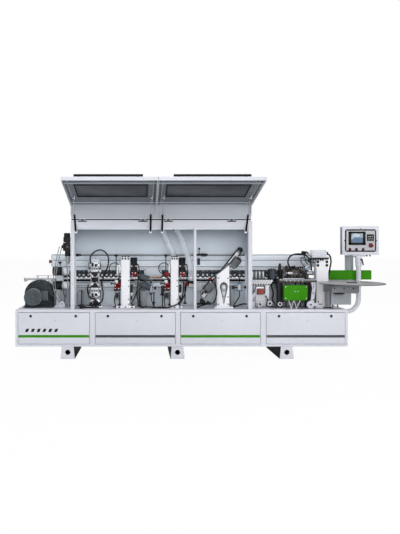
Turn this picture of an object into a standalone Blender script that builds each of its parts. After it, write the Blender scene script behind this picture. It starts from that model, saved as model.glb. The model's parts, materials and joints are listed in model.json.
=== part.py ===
"""Edge banding machine: base cabinet, processing units, feed track, two lifting hoods and control box.

Frame: +X along the machine towards the infeed end, +Y away from the operator, +Z up.
Origin: on the floor, under the middle of the base cabinet.  Units: metres.
"""

import bpy
import bmesh
from math import atan2, cos, pi, radians, sin
from mathutils import Matrix, Vector

# ---------------------------------------------------------------- driving dimensions
GAP = 0.0003                 # clearance between neighbouring solids
BASE_LENGTH = 4.0
BASE_DEPTH = 0.80
BASE_BOTTOM = 0.15           # height of the cross beams under the cabinet
DECK = 0.592                 # top of the base cabinet
WORK_Z = 0.925               # top of the feed chain
SHEET = 0.006                # modelled thickness of folded sheet metal

FRONT = -BASE_DEPTH / 2
BACK = BASE_DEPTH / 2
ON_DECK = DECK + GAP

PANEL_BOTTOM = 0.178
PANEL_TOP = 0.561
PANEL_SPANS = ((-1.970, -1.105), (-1.042, -0.074), (-0.015, 0.950), (1.016, 1.968))
PANEL_THICK = 0.018
PANEL_GAP = 0.004
PANEL_HINGE_UP = 0.003       # hinge line above the panel's lower edge

FOOT_CENTRES = (-1.37, -0.05, 1.265)
FOOT_HALF = 0.070
FOOT_FLARE = 0.085
RAIL_SPANS = ((-0.01, 0.05), (0.25, 0.31))      # long rails between the cross beams, along Y
LIFT_HOLE = 0.030
LIFT_HOLE_Z = 0.081

FRAME_LEFT = -1.340          # hood frame, outer faces of the end posts
FRAME_RIGHT = 0.855
POST = 0.047
FRAME_TOP = 1.665
FASCIA_BOTTOM = 1.575
FRAME_BACK = -0.046

HINGE_Y = -0.350             # line that both hoods turn about
HINGE_Z = 1.675
HOOD_RISE = 0.195            # upright strip of the open hood
HOOD_REACH = 0.958           # length of its sloping skin
HOOD_SLOPE = radians(13.9)
HOOD_FLANGE = 0.040
HOOD_SPANS = {"left": (-1.338, -0.304), "right": (-0.300, 0.845)}
WINDOW_SPANS = {"left": (-1.22, -0.42), "right": (-0.20, 0.715)}
WINDOW_START = 0.315
WINDOW_LENGTH = 0.41
HANDLE_SPANS = {"left": (-1.206, -0.47), "right": (-0.135, 0.69)}
HANDLE_ALONG = 0.93
HANDLE_OFF = 0.040

STRUT_X = (-1.275, -0.374, -0.235, 0.776)
STRUT_LOW = (-0.390, 1.541)
STRUT_HIGH = (-0.670, 1.914)
STRUT_TUBE = 0.235
STRUT_TUBE_R = 0.010
STRUT_ROD_R = 0.004
STRUT_EYE_R = 0.009
STRUT_SIDE = 0.0115          # sideways offset of the brackets from the strut's middle

BEAM_Y = (0.080, 0.200)
BEAM_Z = (1.080, 1.250)
BEAM_X = (-1.630, 1.800)
WHEEL_R = 0.036
WHEEL_Z = 0.982
WHEEL_PITCH = 0.118
WHEEL_COUNT = 27
WHEEL_MIDDLE = 0.07

ARM_X = 2.255                # upright of the control arm
ARM_Y = -0.040
ARM_R = 0.030
BOX_X = (2.032, 2.490)       # control box
BOX_Y = (-0.100, -0.014)
BOX_Z = (1.247, 1.603)

DISC_CENTRE = (2.024, -0.460)
DISC_R = 0.378
DISC_Z = (0.910, 0.922)


# ---------------------------------------------------------------- scene and helpers
def clear_scene():
    for thing in list(bpy.data.objects):
        bpy.data.objects.remove(thing, do_unlink=True)


clear_scene()
PARTS = bpy.data.collections.new("edge_banding_machine")
CUTTERS = bpy.data.collections.new("cutters")
for group in (PARTS, CUTTERS):
    bpy.context.scene.collection.children.link(group)


def material(name, colour, roughness, metallic=0.0):
    made = bpy.data.materials.new(name)
    made.use_nodes = True
    shader = made.node_tree.nodes["Principled BSDF"]
    shader.inputs["Base Color"].default_value = (*colour, 1.0)
    shader.inputs["Roughness"].default_value = roughness
    shader.inputs["Metallic"].default_value = metallic
    return made


WHITE = (0.82, 0.82, 0.86)
GREY = (0.46, 0.50, 0.54)
DARK = (0.05, 0.055, 0.06)
GREEN = (0.045, 0.28, 0.006)
RED = (0.45, 0.03, 0.03)
STEEL = (0.60, 0.60, 0.62)


def mesh_object(bm):
    bmesh.ops.recalc_face_normals(bm, faces=bm.faces)
    data = bpy.data.meshes.new("shape")
    bm.to_mesh(data)
    bm.free()
    made = bpy.data.objects.new("shape", data)
    CUTTERS.objects.link(made)
    return made


def block(low, high):
    """An upright box between two corners."""
    bm = bmesh.new()
    bmesh.ops.create_cube(bm, size=1.0)
    size = [b - a for a, b in zip(low, high)]
    middle = [(a + b) / 2 for a, b in zip(low, high)]
    bmesh.ops.scale(bm, vec=size, verts=bm.verts)
    bmesh.ops.translate(bm, vec=middle, verts=bm.verts)
    return mesh_object(bm)


def bar(start, end, width, height):
    """A square bar from start to end in an XZ plane; width is along Y, height is across it."""
    start, end = Vector(start), Vector(end)
    run = end - start
    bm = bmesh.new()
    bmesh.ops.create_cube(bm, size=1.0)
    bmesh.ops.scale(bm, vec=(run.length, width, height), verts=bm.verts)
    turn = Matrix.Rotation(-atan2(run.z, run.x), 4, "Y")
    bmesh.ops.transform(bm, matrix=Matrix.Translation((start + end) / 2) @ turn, verts=bm.verts)
    return mesh_object(bm)


def rod(start, end, radius, sides=20, end_radius=None):
    """A round bar or cone from start to end."""
    start, end = Vector(start), Vector(end)
    run = end - start
    bm = bmesh.new()
    bmesh.ops.create_cone(bm, cap_ends=True, segments=sides, radius1=radius,
                          radius2=radius if end_radius is None else end_radius, depth=run.length)
    turn = Vector((0, 0, 1)).rotation_difference(run.normalized()).to_matrix().to_4x4()
    bmesh.ops.transform(bm, matrix=Matrix.Translation((start + end) / 2) @ turn, verts=bm.verts)
    return mesh_object(bm)


def settled(thing):
    """The evaluated mesh of a curve object, as a mesh object with its caps welded."""
    graph = bpy.context.evaluated_depsgraph_get()
    data = bpy.data.meshes.new_from_object(thing.evaluated_get(graph))
    bm = bmesh.new()
    bm.from_mesh(data)
    bmesh.ops.remove_doubles(bm, verts=bm.verts, dist=0.00001)
    bmesh.ops.transform(bm, matrix=thing.matrix_world, verts=bm.verts)
    bpy.data.objects.remove(thing, do_unlink=True)
    return mesh_object(bm)


def plate(outline, axis, low, high):
    """A flat outline given as (x, z) or (y, z) points, spanning low to high along axis Y or X."""
    curve = bpy.data.curves.new("outline", "CURVE")
    curve.dimensions = "2D"
    curve.fill_mode = "BOTH"
    curve.render_resolution_u = 0
    curve.extrude = (high - low) / 2
    spline = curve.splines.new("POLY")
    spline.points.add(len(outline) - 1)
    for point, (across, up) in zip(spline.points, outline):
        point.co = (across, up, 0, 1)
    spline.use_cyclic_u = True
    thing = bpy.data.objects.new("outline", curve)
    middle = (low + high) / 2
    upright = Matrix.Rotation(pi / 2, 4, "X")
    if axis == "Y":
        thing.matrix_world = Matrix.Translation((0, middle, 0)) @ upright
    else:
        thing.matrix_world = Matrix.Translation((middle, 0, 0)) @ Matrix.Rotation(pi / 2, 4, "Z") @ upright
    CUTTERS.objects.link(thing)
    bpy.context.view_layer.update()
    return settled(thing)


def pipe(points, radius, detail=2):
    """A round tube along a line of points."""
    curve = bpy.data.curves.new("line", "CURVE")
    curve.dimensions = "3D"
    curve.bevel_depth = radius
    curve.bevel_resolution = detail
    curve.use_fill_caps = True
    curve.render_resolution_u = 0
    spline = curve.splines.new("POLY")
    spline.points.add(len(points) - 1)
    for point, place in zip(spline.points, points):
        point.co = (*place, 1)
    thing = bpy.data.objects.new("line", curve)
    CUTTERS.objects.link(thing)
    bpy.context.view_layer.update()
    return settled(thing)


def arc(centre, radius, start, stop, steps):
    """Points on an arc, angles in degrees from the first axis of the plane."""
    turns = [radians(start + (stop - start) * i / steps) for i in range(steps + 1)]
    return [(centre[0] + radius * cos(a), centre[1] + radius * sin(a)) for a in turns]


def node(name, shapes, colour, roughness=0.4, metallic=0.0, cuts=(), pivot=None):
    """One named solid: its shapes joined, its cuts taken away, its origin on the pivot."""
    body = shapes[0]
    CUTTERS.objects.unlink(body)
    PARTS.objects.link(body)
    body.name = name
    body.data.name = name
    body.data.materials.append(material(name + "_finish", colour, roughness, metallic))
    for kind, helpers in (("UNION", shapes[1:]), ("DIFFERENCE", cuts)):
        for helper in helpers:
            helper.hide_render = True
            helper.display_type = "WIRE"
            change = body.modifiers.new(kind.lower(), "BOOLEAN")
            change.operation = kind
            change.solver = "EXACT"
            change.object = helper
    if pivot is not None:
        body.data.transform(Matrix.Translation(-Vector(pivot)))
        body.location = pivot
    return body


# ---------------------------------------------------------------- base
def base_cabinet():
    shell = block((-BASE_LENGTH / 2, FRONT, BASE_BOTTOM), (BASE_LENGTH / 2, BACK, DECK))
    bays = []
    for left, right in PANEL_SPANS:
        bays.append(block((left, FRONT - 0.05, PANEL_BOTTOM), (right, BACK - 0.02, PANEL_TOP)))
    node("base_cabinet", [shell], WHITE, cuts=bays)


def front_panels():
    for number, (left, right) in enumerate(PANEL_SPANS, 1):
        low = (left + PANEL_GAP, FRONT, PANEL_BOTTOM + PANEL_GAP)
        high = (right - PANEL_GAP, FRONT + PANEL_THICK, PANEL_TOP - PANEL_GAP)
        pivot = ((left + right) / 2, FRONT, PANEL_BOTTOM + PANEL_GAP + PANEL_HINGE_UP)
        node(f"front_panel_{number}", [block(low, high)], WHITE, pivot=pivot)


def foot_frame():
    top = BASE_BOTTOM - GAP
    shapes = []
    for centre in FOOT_CENTRES:
        outline = [(centre - FOOT_FLARE, 0), (centre + FOOT_FLARE, 0),
                   (centre + FOOT_HALF, top), (centre - FOOT_HALF, top)]
        shapes.append(plate(outline, "Y", FRONT, BACK))
    for front, back in RAIL_SPANS:
        shapes.append(block((FOOT_CENTRES[0] - 0.04, front, 0.095), (FOOT_CENTRES[2] + 0.04, back, top - 0.004)))
    holes = [rod((centre, FRONT - 0.05, LIFT_HOLE_Z), (centre, BACK + 0.05, LIFT_HOLE_Z), LIFT_HOLE)
             for centre in FOOT_CENTRES]
    node("foot_frame", shapes, WHITE, cuts=holes)


# ---------------------------------------------------------------- hood frame and hoods
def hood_frame():
    post_y = (-0.370, -0.320)
    shapes = [
        block((FRAME_LEFT - 0.001, -0.360, FASCIA_BOTTOM), (FRAME_RIGHT + 0.001, -0.345, FRAME_TOP)),
        block((FRAME_LEFT, post_y[0], ON_DECK), (FRAME_LEFT + POST, post_y[1], 1.600)),
        block((FRAME_RIGHT - POST, post_y[0], ON_DECK), (FRAME_RIGHT, post_y[1], 1.600)),
        block((0.149, -0.368, ON_DECK), (0.180, -0.330, 1.600)),
        block((FRAME_LEFT + 0.001, -0.352, 1.652), (FRAME_RIGHT - 0.001, FRAME_BACK, 1.6635)),
        block((FRAME_LEFT + 0.0015, -0.335, ON_DECK), (FRAME_LEFT + 0.0095, FRAME_BACK - 0.001, 1.658)),
        block((FRAME_RIGHT - 0.0095, -0.335, ON_DECK), (FRAME_RIGHT - 0.0015, FRAME_BACK - 0.001, 1.658)),
    ]
    for place in STRUT_X:
        shapes.append(block((place + STRUT_SIDE, -0.400, 1.530), (place + STRUT_SIDE + SHEET, -0.355, 1.601)))
    node("hood_frame", shapes, WHITE)


def hood_rear_panel():
    node("hood_rear_panel", [block((FRAME_LEFT + 0.002, FRAME_BACK + 0.0005, 1.262),
                                   (FRAME_RIGHT - 0.002, FRAME_BACK + SHEET, 1.6635))], GREY)


BEND = Vector((HINGE_Y, HINGE_Z + HOOD_RISE))               # (y, z) where the skin turns forward
ALONG = Vector((-cos(HOOD_SLOPE), sin(HOOD_SLOPE)))         # along the skin, towards the rim
OUT = Vector((sin(HOOD_SLOPE), cos(HOOD_SLOPE)))            # square to the skin, away from the machine


def skin_point(along, out=0.0):
    """A point in (y, z), measured along the sloping skin from the bend and out from its outer face."""
    return BEND + ALONG * along + OUT * out


def skin_box(x_low, x_high, from_along, to_along, out_low, out_high):
    corners = [skin_point(from_along, out_low), skin_point(to_along, out_low),
               skin_point(to_along, out_high), skin_point(from_along, out_high)]
    return plate([tuple(c) for c in corners], "X", x_low, x_high)


def hood(side):
    left, right = HOOD_SPANS[side]
    lowest = HINGE_Z + 0.012
    rim = HOOD_REACH
    outer = [(HINGE_Y, lowest), tuple(BEND), tuple(skin_point(rim)), tuple(skin_point(rim, -HOOD_FLANGE))]
    inner = [tuple(skin_point(rim - SHEET, -HOOD_FLANGE)), tuple(skin_point(rim - SHEET, -SHEET)),
             (HINGE_Y - SHEET, BEND.y - 0.0046), (HINGE_Y - SHEET, lowest)]
    shapes = [plate(outer + inner, "X", left, right)]
    cheek = [(HINGE_Y - 0.003, HINGE_Z + 0.055), tuple(skin_point(0.003, -0.002)),
             tuple(skin_point(rim - 0.002, -0.002)), tuple(skin_point(rim - 0.002, -HOOD_FLANGE + 0.001)),
             tuple(skin_point(HOOD_FLANGE, -HOOD_FLANGE)), (HINGE_Y - HOOD_FLANGE, HINGE_Z + 0.055)]
    shapes.append(plate(cheek, "X", left + 0.0005, left + SHEET))
    shapes.append(plate(cheek, "X", right - SHEET, right - 0.0005))
    grip = skin_point(HANDLE_ALONG * rim, HANDLE_OFF)
    root = skin_point(HANDLE_ALONG * rim, -0.003)
    bar_left, bar_right = HANDLE_SPANS[side]
    shapes.append(rod((bar_left, *grip), (bar_right, *grip), 0.011, 12))
    for place in (bar_left + 0.05, bar_right - 0.05):
        shapes.append(rod((place, *root), (place, *grip), 0.007, 10))
    hang_top = skin_point(0.33, -0.003)
    for place in STRUT_X:
        if left < place < right:
            ear = [(STRUT_HIGH[0] - 0.014, STRUT_HIGH[1] - 0.014), (STRUT_HIGH[0] + 0.014, STRUT_HIGH[1] - 0.014),
                   tuple(hang_top - ALONG * 0.03), tuple(hang_top + ALONG * 0.03)]
            shapes.append(plate(ear, "X", place + STRUT_SIDE, place + STRUT_SIDE + SHEET))
    low, high = WINDOW_SPANS[side]
    opening = skin_box(low, high, WINDOW_START, WINDOW_START + WINDOW_LENGTH, -0.030, 0.030)
    node(f"hood_{side}", shapes, WHITE, cuts=[opening], pivot=((left + right) / 2, HINGE_Y, HINGE_Z))
    lap = 0.014
    pane = skin_box(low - lap, high + lap, WINDOW_START - lap, WINDOW_START + WINDOW_LENGTH + lap,
                    -SHEET - GAP - 0.004, -SHEET - GAP)
    node(f"hood_window_{side}", [pane], (0.02, 0.025, 0.03), 0.1)


def struts():
    low = Vector(STRUT_LOW)
    run = Vector(STRUT_HIGH) - low
    along = run.normalized()
    for number, place in enumerate(STRUT_X, 1):
        def at(distance, side=0.0):
            spot = low + along * distance
            return (place + side, spot.x, spot.y)
        tube = rod(at(0.004), at(STRUT_TUBE), STRUT_TUBE_R, 16)
        eye = rod(at(0, -0.008), at(0, STRUT_SIDE - 0.0005), STRUT_EYE_R, 12)
        bore = rod(at(0.015), at(STRUT_TUBE + 0.01), STRUT_ROD_R + 0.0005, 10)
        node(f"strut_tube_{number}", [tube, eye], DARK, 0.35, cuts=[bore], pivot=at(0))
        stem = rod(at(STRUT_TUBE - 0.010), at(run.length - 0.002), STRUT_ROD_R, 8)
        cap = rod(at(run.length, -0.008), at(run.length, STRUT_SIDE - 0.0005), STRUT_EYE_R, 12)
        node(f"strut_rod_{number}", [stem, cap], STEEL, 0.2, 1.0, pivot=at(run.length))


# ---------------------------------------------------------------- feed track and pressure beam
def track():
    node("track_beam", [
        block((-1.640, 0.060, 0.800), (1.850, 0.220, 0.900)),
        block((-1.550, 0.100, ON_DECK), (1.750, 0.180, 0.810)),
        block((-1.645, 0.050, 0.838), (1.855, 0.070, 0.868)),
    ], GREY)
    chain = block((-1.600, 0.095, 0.900 + GAP), (1.810, 0.185, WORK_Z))
    node("feed_chain", [chain], DARK, 0.6)


def pressure_beam():
    shapes = [
        block((BEAM_X[0], BEAM_Y[0], BEAM_Z[0]), (BEAM_X[1], BEAM_Y[1], BEAM_Z[1])),
        block((-1.560, 0.096, 1.000), (1.700, 0.184, BEAM_Z[0] + 0.01)),
        block((BEAM_X[0] + 0.02, BEAM_Y[0] - 0.008, 1.193), (BEAM_X[1] - 0.02, BEAM_Y[0] + 0.01, 1.225)),
    ]
    first = WHEEL_MIDDLE - WHEEL_PITCH * (WHEEL_COUNT - 1) / 2
    for index in range(WHEEL_COUNT):
        place = first + index * WHEEL_PITCH
        shapes.append(rod((place, 0.104, WHEEL_Z), (place, 0.176, WHEEL_Z), WHEEL_R, 16))
    node("pressure_beam", shapes, (0.66, 0.69, 0.72))


def infeed_column():
    """The column at the infeed end, with the gearbox that lifts the pressure beam on top."""
    left, right = 1.690, 1.838
    front, back = -0.160, -0.040
    top = 1.212
    node("infeed_column", [
        block((left, front, 0.930), (right, back, top)),
        block((left + 0.0005, front + 0.0005, ON_DECK), (1.760, back - 0.0005, 0.940)),
        block((1.672, front - 0.015, ON_DECK), (1.790, back + 0.020, 0.614)),
        block((1.705, back - 0.01, 1.100), (1.790, 0.079, 1.190)),
    ], WHITE)
    node("lift_gearbox", [
        block((1.640, -0.170, top + GAP), (1.846, -0.030, top + 0.016)),
        block((1.636, -0.155, top + 0.012), (1.820, -0.045, 1.304)),
        rod((1.570, -0.100, 1.262), (1.650, -0.100, 1.262), 0.026, 16),
    ], WHITE)


def panel_support():
    """Rear support rail for wide panels, carried by arms from the cabinet's back."""
    shapes = [block((-2.080, 0.590, 0.884), (1.950, 0.640, 0.914))]
    for place in (-1.70, 0.0, 1.70):
        shapes.append(block((place - 0.02, BACK - 0.080, 0.830), (place + 0.02, 0.630, 0.889)))
        shapes.append(block((place - 0.025, BACK - 0.085, ON_DECK), (place + 0.025, BACK - 0.035, 0.840)))
    node("panel_support", shapes, STEEL, 0.35, 0.6)


# ---------------------------------------------------------------- processing units
def feed_gearmotor():
    middle, radius, spring = -1.762, 0.168, 0.757
    arch = arc((middle, spring), radius, 0, 180, 12)
    outline = [(middle + radius + 0.006, ON_DECK), *arch, (middle - radius - 0.006, ON_DECK)]
    cowl = (-1.822, 0.726)
    node("feed_gearmotor", [
        plate(outline, "Y", -0.140, 0.040),
        block((middle - 0.180, -0.190, ON_DECK), (middle + 0.180, 0.045, 0.610)),
        rod((cowl[0], -0.250, cowl[1]), (cowl[0], -0.130, cowl[1]), 0.104, 28),
        block((-1.722, -0.200, 0.690), (-1.640, -0.130, 0.800)),
    ], (0.07, 0.085, 0.09), 0.45)


def buffing_unit():
    wheel_y = -0.105
    tops = {"top": 1.044, "bottom": 0.866}
    shapes = [
        block((-1.555, -0.062, ON_DECK), (-1.475, 0.040, 1.100)),
        block((-1.570, -0.120, ON_DECK), (-1.455, 0.045, 0.610)),
    ]
    for height in tops.values():
        shapes.append(rod((-1.575, wheel_y, height), (-1.466, wheel_y, height), 0.050, 20))
    node("buffing_stand", shapes, (0.55, 0.57, 0.60))
    for name, height in tops.items():
        wheel = rod((-1.454, wheel_y, height), (-1.384, wheel_y, height), 0.044, 24)
        shaft = rod((-1.4655, wheel_y, height), (-1.450, wheel_y, height), 0.009, 12)
        node(f"buffing_wheel_{name}", [wheel, shaft], (0.85, 0.85, 0.86), 0.9,
             pivot=(-1.419, wheel_y, height))


def scraping_unit():
    middle = -1.070
    face = -0.060
    node("scraping_stand", [
        block((middle - 0.045, face, ON_DECK), (middle + 0.045, 0.040, 1.190)),
        block((middle - 0.100, -0.140, ON_DECK), (middle + 0.100, 0.045, 0.612)),
    ], (0.55, 0.57, 0.60))
    for name, base, up in (("top", 0.958, 1), ("bottom", 0.912, -1)):
        half = [(0.020, 0.0), (0.084, 0.060), (0.084, 0.088), (0.070, 0.096), (0.070, 0.200)]
        outline = [(middle + x, base + up * z) for x, z in half]
        outline += [(middle - x, base + up * z) for x, z in reversed(half)]
        shapes = [
            plate(outline, "Y", -0.130, face - GAP),
            rod((middle, -0.175, base + up * 0.043), (middle, -0.100, base + up * 0.043), 0.026, 16),
        ]
        node(f"scraper_head_{name}", shapes, (0.75, 0.76, 0.78), 0.35, pivot=(middle, face, base))


def trimming_unit(number, middle, width, foot_span):
    """A column with a top head on its right side and a bottom head on its left side."""
    front, back = -0.200, -0.080
    left, right = middle - width / 2, middle + width / 2
    top = 1.218
    node(f"trimming_column_{number}", [
        block((left, front, ON_DECK), (right, back, top)),
        block((foot_span[0], front - 0.035, ON_DECK), (foot_span[1], back + 0.035, 0.614)),
        block((left + 0.015, back - 0.01, 0.700), (right - 0.015, 0.040, 0.780)),
    ], WHITE)
    axis_y = -0.140
    for name, side, face, up, start in (("top", 1, right, 1, 0.951), ("bottom", -1, left, -1, 0.905)):
        axis_x = face + side * 0.052
        x_span = sorted((face + side * GAP, face + side * 0.092))
        body_z = sorted((start + up * 0.022, start + up * 0.105))
        motor_z = (start + up * 0.095, start + up * 0.265)
        shapes = [
            block((x_span[0], axis_y - 0.040, body_z[0]), (x_span[1], axis_y + 0.038, body_z[1])),
            rod((axis_x, axis_y, motor_z[0]), (axis_x, axis_y, motor_z[1]), 0.042, 18),
        ]
        node(f"trim_head_{number}_{name}", shapes, RED if up > 0 else DARK, 0.4,
             pivot=(axis_x, axis_y, start))
        cutter = rod((axis_x, axis_y, start), (axis_x, axis_y, start + up * 0.0215), 0.034, 20)
        node(f"trim_cutter_{number}_{name}", [cutter], STEEL, 0.25, 1.0, pivot=(axis_x, axis_y, start))


SAW_LOW = Vector((0.282, 0.724))        # lower end of the sloping guide, in (x, z)
SAW_HIGH = Vector((0.767, 1.333))
EYE_X = 0.5315                          # drop-shaped opening in the column
EYE_TIP = 0.640
EYE_TOP = 0.860
EYE_R = 0.042


def end_trimming_unit():
    left, right = 0.446, 0.599
    column = [(left, ON_DECK), (right, ON_DECK), (right, 1.120), (left + 0.045, 1.030), (left, 1.000)]
    eye = [(EYE_X, EYE_TIP), *arc((EYE_X, EYE_TOP), EYE_R, -11, 191, 8)]
    guide = bar((SAW_LOW.x, -0.110, SAW_LOW.y), (SAW_HIGH.x, -0.110, SAW_HIGH.y), 0.040, 0.040)
    node("end_trim_column", [
        plate(column, "Y", -0.220, -0.120),
        block((0.413, -0.255, ON_DECK), (0.642, -0.060, 0.614)),
        guide,
        block((0.490, -0.130, ON_DECK), (0.560, -0.040, 0.960)),
    ], WHITE, cuts=[plate(eye, "Y", -0.250, 0.0)])
    along = (SAW_HIGH - SAW_LOW).normalized()
    back = -0.130 - GAP
    for name, (x, z) in (("lower", (0.354, 0.840)), ("upper", (0.684, 1.152))):
        middle = Vector((x, z))
        start = middle - along * 0.075
        stop = middle + along * 0.075
        nose = middle - along * 0.050
        tail = middle + along * 0.060
        shapes = [
            bar((start.x, back - 0.040, start.y), (stop.x, back - 0.040, stop.y), 0.080, 0.088),
            rod((nose.x, back - 0.080, nose.y), (tail.x, back - 0.080, tail.y), 0.036, 18),
        ]
        node(f"end_saw_carriage_{name}", shapes, (0.35, 0.37, 0.39), 0.4, pivot=(x, back, z))


# ---------------------------------------------------------------- gluing and pressing
def press_rollers():
    first, pitch = 0.915, 0.045
    shapes = [
        block((0.880, -0.110, 0.912), (1.125, 0.040, 0.938)),
        block((0.900, -0.060, ON_DECK), (1.100, 0.030, 0.920)),
        block((0.940, -0.140, 0.760), (1.040, -0.050, 0.850)),
    ]
    for index in range(4):
        place = first + index * pitch
        shapes.append(rod((place, -0.040, 0.930), (place, -0.040, 1.036), 0.0205, 14))
    node("press_roller_stand", shapes, (0.72, 0.74, 0.76))
    axis = (1.171, -0.050)
    node("main_pressure_roller", [
        rod((*axis, 0.940), (*axis, 1.050), 0.040, 24),
        rod((*axis, 0.905), (*axis, 1.075), 0.012, 12),
    ], (0.12, 0.15, 0.17), 0.5, pivot=(*axis, 0.985))


def glue_unit():
    node("glue_table", [
        block((1.215, -0.230, 0.910), (1.676, 0.040, 0.945)),
        block((1.270, -0.190, 0.940), (1.540, -0.020, 1.060)),
        block((1.225, -0.150, ON_DECK), (1.270, 0.000, 0.915)),
        block((1.600, -0.150, ON_DECK), (1.650, 0.000, 0.915)),
        rod((1.330, -0.105, 1.050), (1.330, -0.105, 1.090), 0.045, 18),
    ], (0.30, 0.22, 0.18), 0.5)
    cover_y = (-0.315, -0.245)
    shapes = [block((1.253, cover_y[0], 0.702), (1.541, cover_y[1], 0.880))]
    for foot, tops in ((1.342, (1.311, 1.373)), (1.428, (1.397, 1.459))):
        for top in tops:
            shapes.append(bar((foot, -0.280, ON_DECK + 0.006), (top, -0.280, 0.710), 0.012, 0.012))
    node("glue_cover", shapes, GREEN, 0.4)


# ---------------------------------------------------------------- infeed end
def infeed_fence():
    node("infeed_fence", [
        block((1.896, 0.000, 0.930), (2.435, 0.050, 1.048)),
        block((1.8553, 0.020, 0.880), (2.300, 0.045, 0.940)),
        block((2.120, 0.030, 0.885), (2.250, 0.160, 0.925)),
        rod((2.186, 0.108, 0.915), (2.186, 0.108, 1.243), 0.050, 20),
    ], GREEN, 0.4)


def tape_table():
    """A post with an arm that carries the disc's hub, and a junction box under the arm."""
    arm_low, arm_top = 0.812, 0.889
    post = (1.800, -0.270)
    pivot = (1.873, -0.460)
    node("tape_table_stand", [
        block((1.762, -0.560, arm_low), (2.076, -0.210, arm_top)),
        rod((*post, ON_DECK), (*post, arm_low + 0.02), 0.032, 20),
        rod((*post, ON_DECK), (*post, 0.606), 0.062, 20),
        block((1.830, -0.300, 0.648), (2.067, -0.150, arm_low + 0.01)),
        rod((*pivot, arm_low - 0.030), (*pivot, arm_low + 0.01), 0.060, 20),
    ], (0.30, 0.32, 0.34))
    node("tape_disc", [
        rod((*DISC_CENTRE, DISC_Z[0]), (*DISC_CENTRE, DISC_Z[1]), DISC_R, 56),
        rod((*DISC_CENTRE, arm_top + GAP), (*DISC_CENTRE, DISC_Z[1] + 0.020), 0.040, 20),
    ], (0.42, 0.39, 0.38), 0.4, pivot=(*DISC_CENTRE, sum(DISC_Z) / 2))


def control_station():
    bend = 0.16
    level = 0.530
    turn = arc((ARM_X - bend, level + bend), bend, -90, 0, 8)
    points = [(BASE_LENGTH / 2 + 0.004, ARM_Y, level)]
    points += [(x, ARM_Y, z) for x, z in turn]
    points.append((ARM_X, ARM_Y, BOX_Z[0] - 0.004))
    node("control_arm", [
        pipe(points, ARM_R, 3),
        block((BASE_LENGTH / 2 + GAP, ARM_Y - 0.055, level - 0.055),
              (BASE_LENGTH / 2 + 0.010, ARM_Y + 0.055, DECK - 0.008)),
        rod((ARM_X, ARM_Y, BOX_Z[0] - 0.030), (ARM_X, ARM_Y, BOX_Z[0] - GAP), 0.044, 20),
    ], (0.78, 0.79, 0.82))
    face = BOX_Y[0]
    stop_place = (2.386, 1.365)
    buttons = {"start_button": (2.124, 1.315), "stop_button": (2.206, 1.315)}
    bores = []
    for place, radius in ((stop_place, 0.011), *((spot, 0.007) for spot in buttons.values())):
        bores.append(rod((place[0], face - 0.03, place[1]), (place[0], face + 0.018, place[1]), radius, 12))
    node("control_box", [block((BOX_X[0], face, BOX_Z[0]), (BOX_X[1], BOX_Y[1], BOX_Z[1]))], WHITE,
         cuts=bores, pivot=(ARM_X, ARM_Y, BOX_Z[0]))
    node("touch_screen", [block((2.107, face - 0.007, 1.370), (2.319, face - GAP, 1.538))],
         (0.02, 0.03, 0.05), 0.15)
    node("emergency_stop", [
        rod((stop_place[0], face - 0.038, stop_place[1]), (stop_place[0], face - 0.012, stop_place[1]),
            0.026, 24, 0.029),
        rod((stop_place[0], face - 0.016, stop_place[1]), (stop_place[0], face + 0.006, stop_place[1]),
            0.010, 12),
    ], RED, 0.35, pivot=(stop_place[0], face, stop_place[1]))
    for name, (x, z) in buttons.items():
        node(name, [
            rod((x, face - 0.012, z), (x, face - 0.005, z), 0.013, 16),
            rod((x, face - 0.006, z), (x, face + 0.008, z), 0.006, 10),
        ], RED, 0.4, pivot=(x, face, z))


def air_service_unit():
    outside = FRAME_LEFT - 0.0015
    node("air_service_unit", [
        block((-1.412, -0.345, 1.300), (outside - GAP, -0.270, 1.520)),
        rod((-1.385, -0.305, 1.130), (-1.385, -0.305, 1.310), 0.034, 16),
    ], DARK, 0.5)


base_cabinet()
front_panels()
foot_frame()
hood_frame()
hood_rear_panel()
for hood_side in HOOD_SPANS:
    hood(hood_side)
struts()
track()
pressure_beam()
infeed_column()
panel_support()
feed_gearmotor()
buffing_unit()
scraping_unit()
trimming_unit(1, -0.682, 0.104, (-0.783, -0.575))
trimming_unit(2, -0.0745, 0.091, (-0.159, 0.012))
end_trimming_unit()
press_rollers()
glue_unit()
infeed_fence()
tape_table()
control_station()
air_service_unit()
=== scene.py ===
"""Looks of the edge banding machine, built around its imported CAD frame.

Frame: +X towards the infeed end, +Y away from the operator, +Z up, metres, origin on the floor.
"""

import json
from math import cos, pi, radians, sin

import bmesh
import bpy
from mathutils import Matrix, Vector


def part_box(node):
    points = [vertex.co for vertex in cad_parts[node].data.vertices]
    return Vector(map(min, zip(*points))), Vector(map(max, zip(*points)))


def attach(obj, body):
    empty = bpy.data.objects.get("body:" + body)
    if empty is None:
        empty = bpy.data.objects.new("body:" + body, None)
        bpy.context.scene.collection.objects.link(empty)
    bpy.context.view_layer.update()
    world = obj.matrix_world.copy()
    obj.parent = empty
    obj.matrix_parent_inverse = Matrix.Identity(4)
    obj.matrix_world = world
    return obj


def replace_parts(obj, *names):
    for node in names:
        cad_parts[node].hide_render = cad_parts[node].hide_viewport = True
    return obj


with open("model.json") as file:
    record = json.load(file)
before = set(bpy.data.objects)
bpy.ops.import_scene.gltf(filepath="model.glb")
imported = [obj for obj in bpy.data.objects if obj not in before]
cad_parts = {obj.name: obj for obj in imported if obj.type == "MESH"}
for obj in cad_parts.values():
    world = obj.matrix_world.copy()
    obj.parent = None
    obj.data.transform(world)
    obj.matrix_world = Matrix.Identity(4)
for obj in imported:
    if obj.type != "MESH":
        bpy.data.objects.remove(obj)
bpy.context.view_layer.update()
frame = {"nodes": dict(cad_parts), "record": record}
X, Y, Z = Vector((1, 0, 0)), Vector((0, 1, 0)), Vector((0, 0, 1))
BASE = "machine_base"


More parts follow.
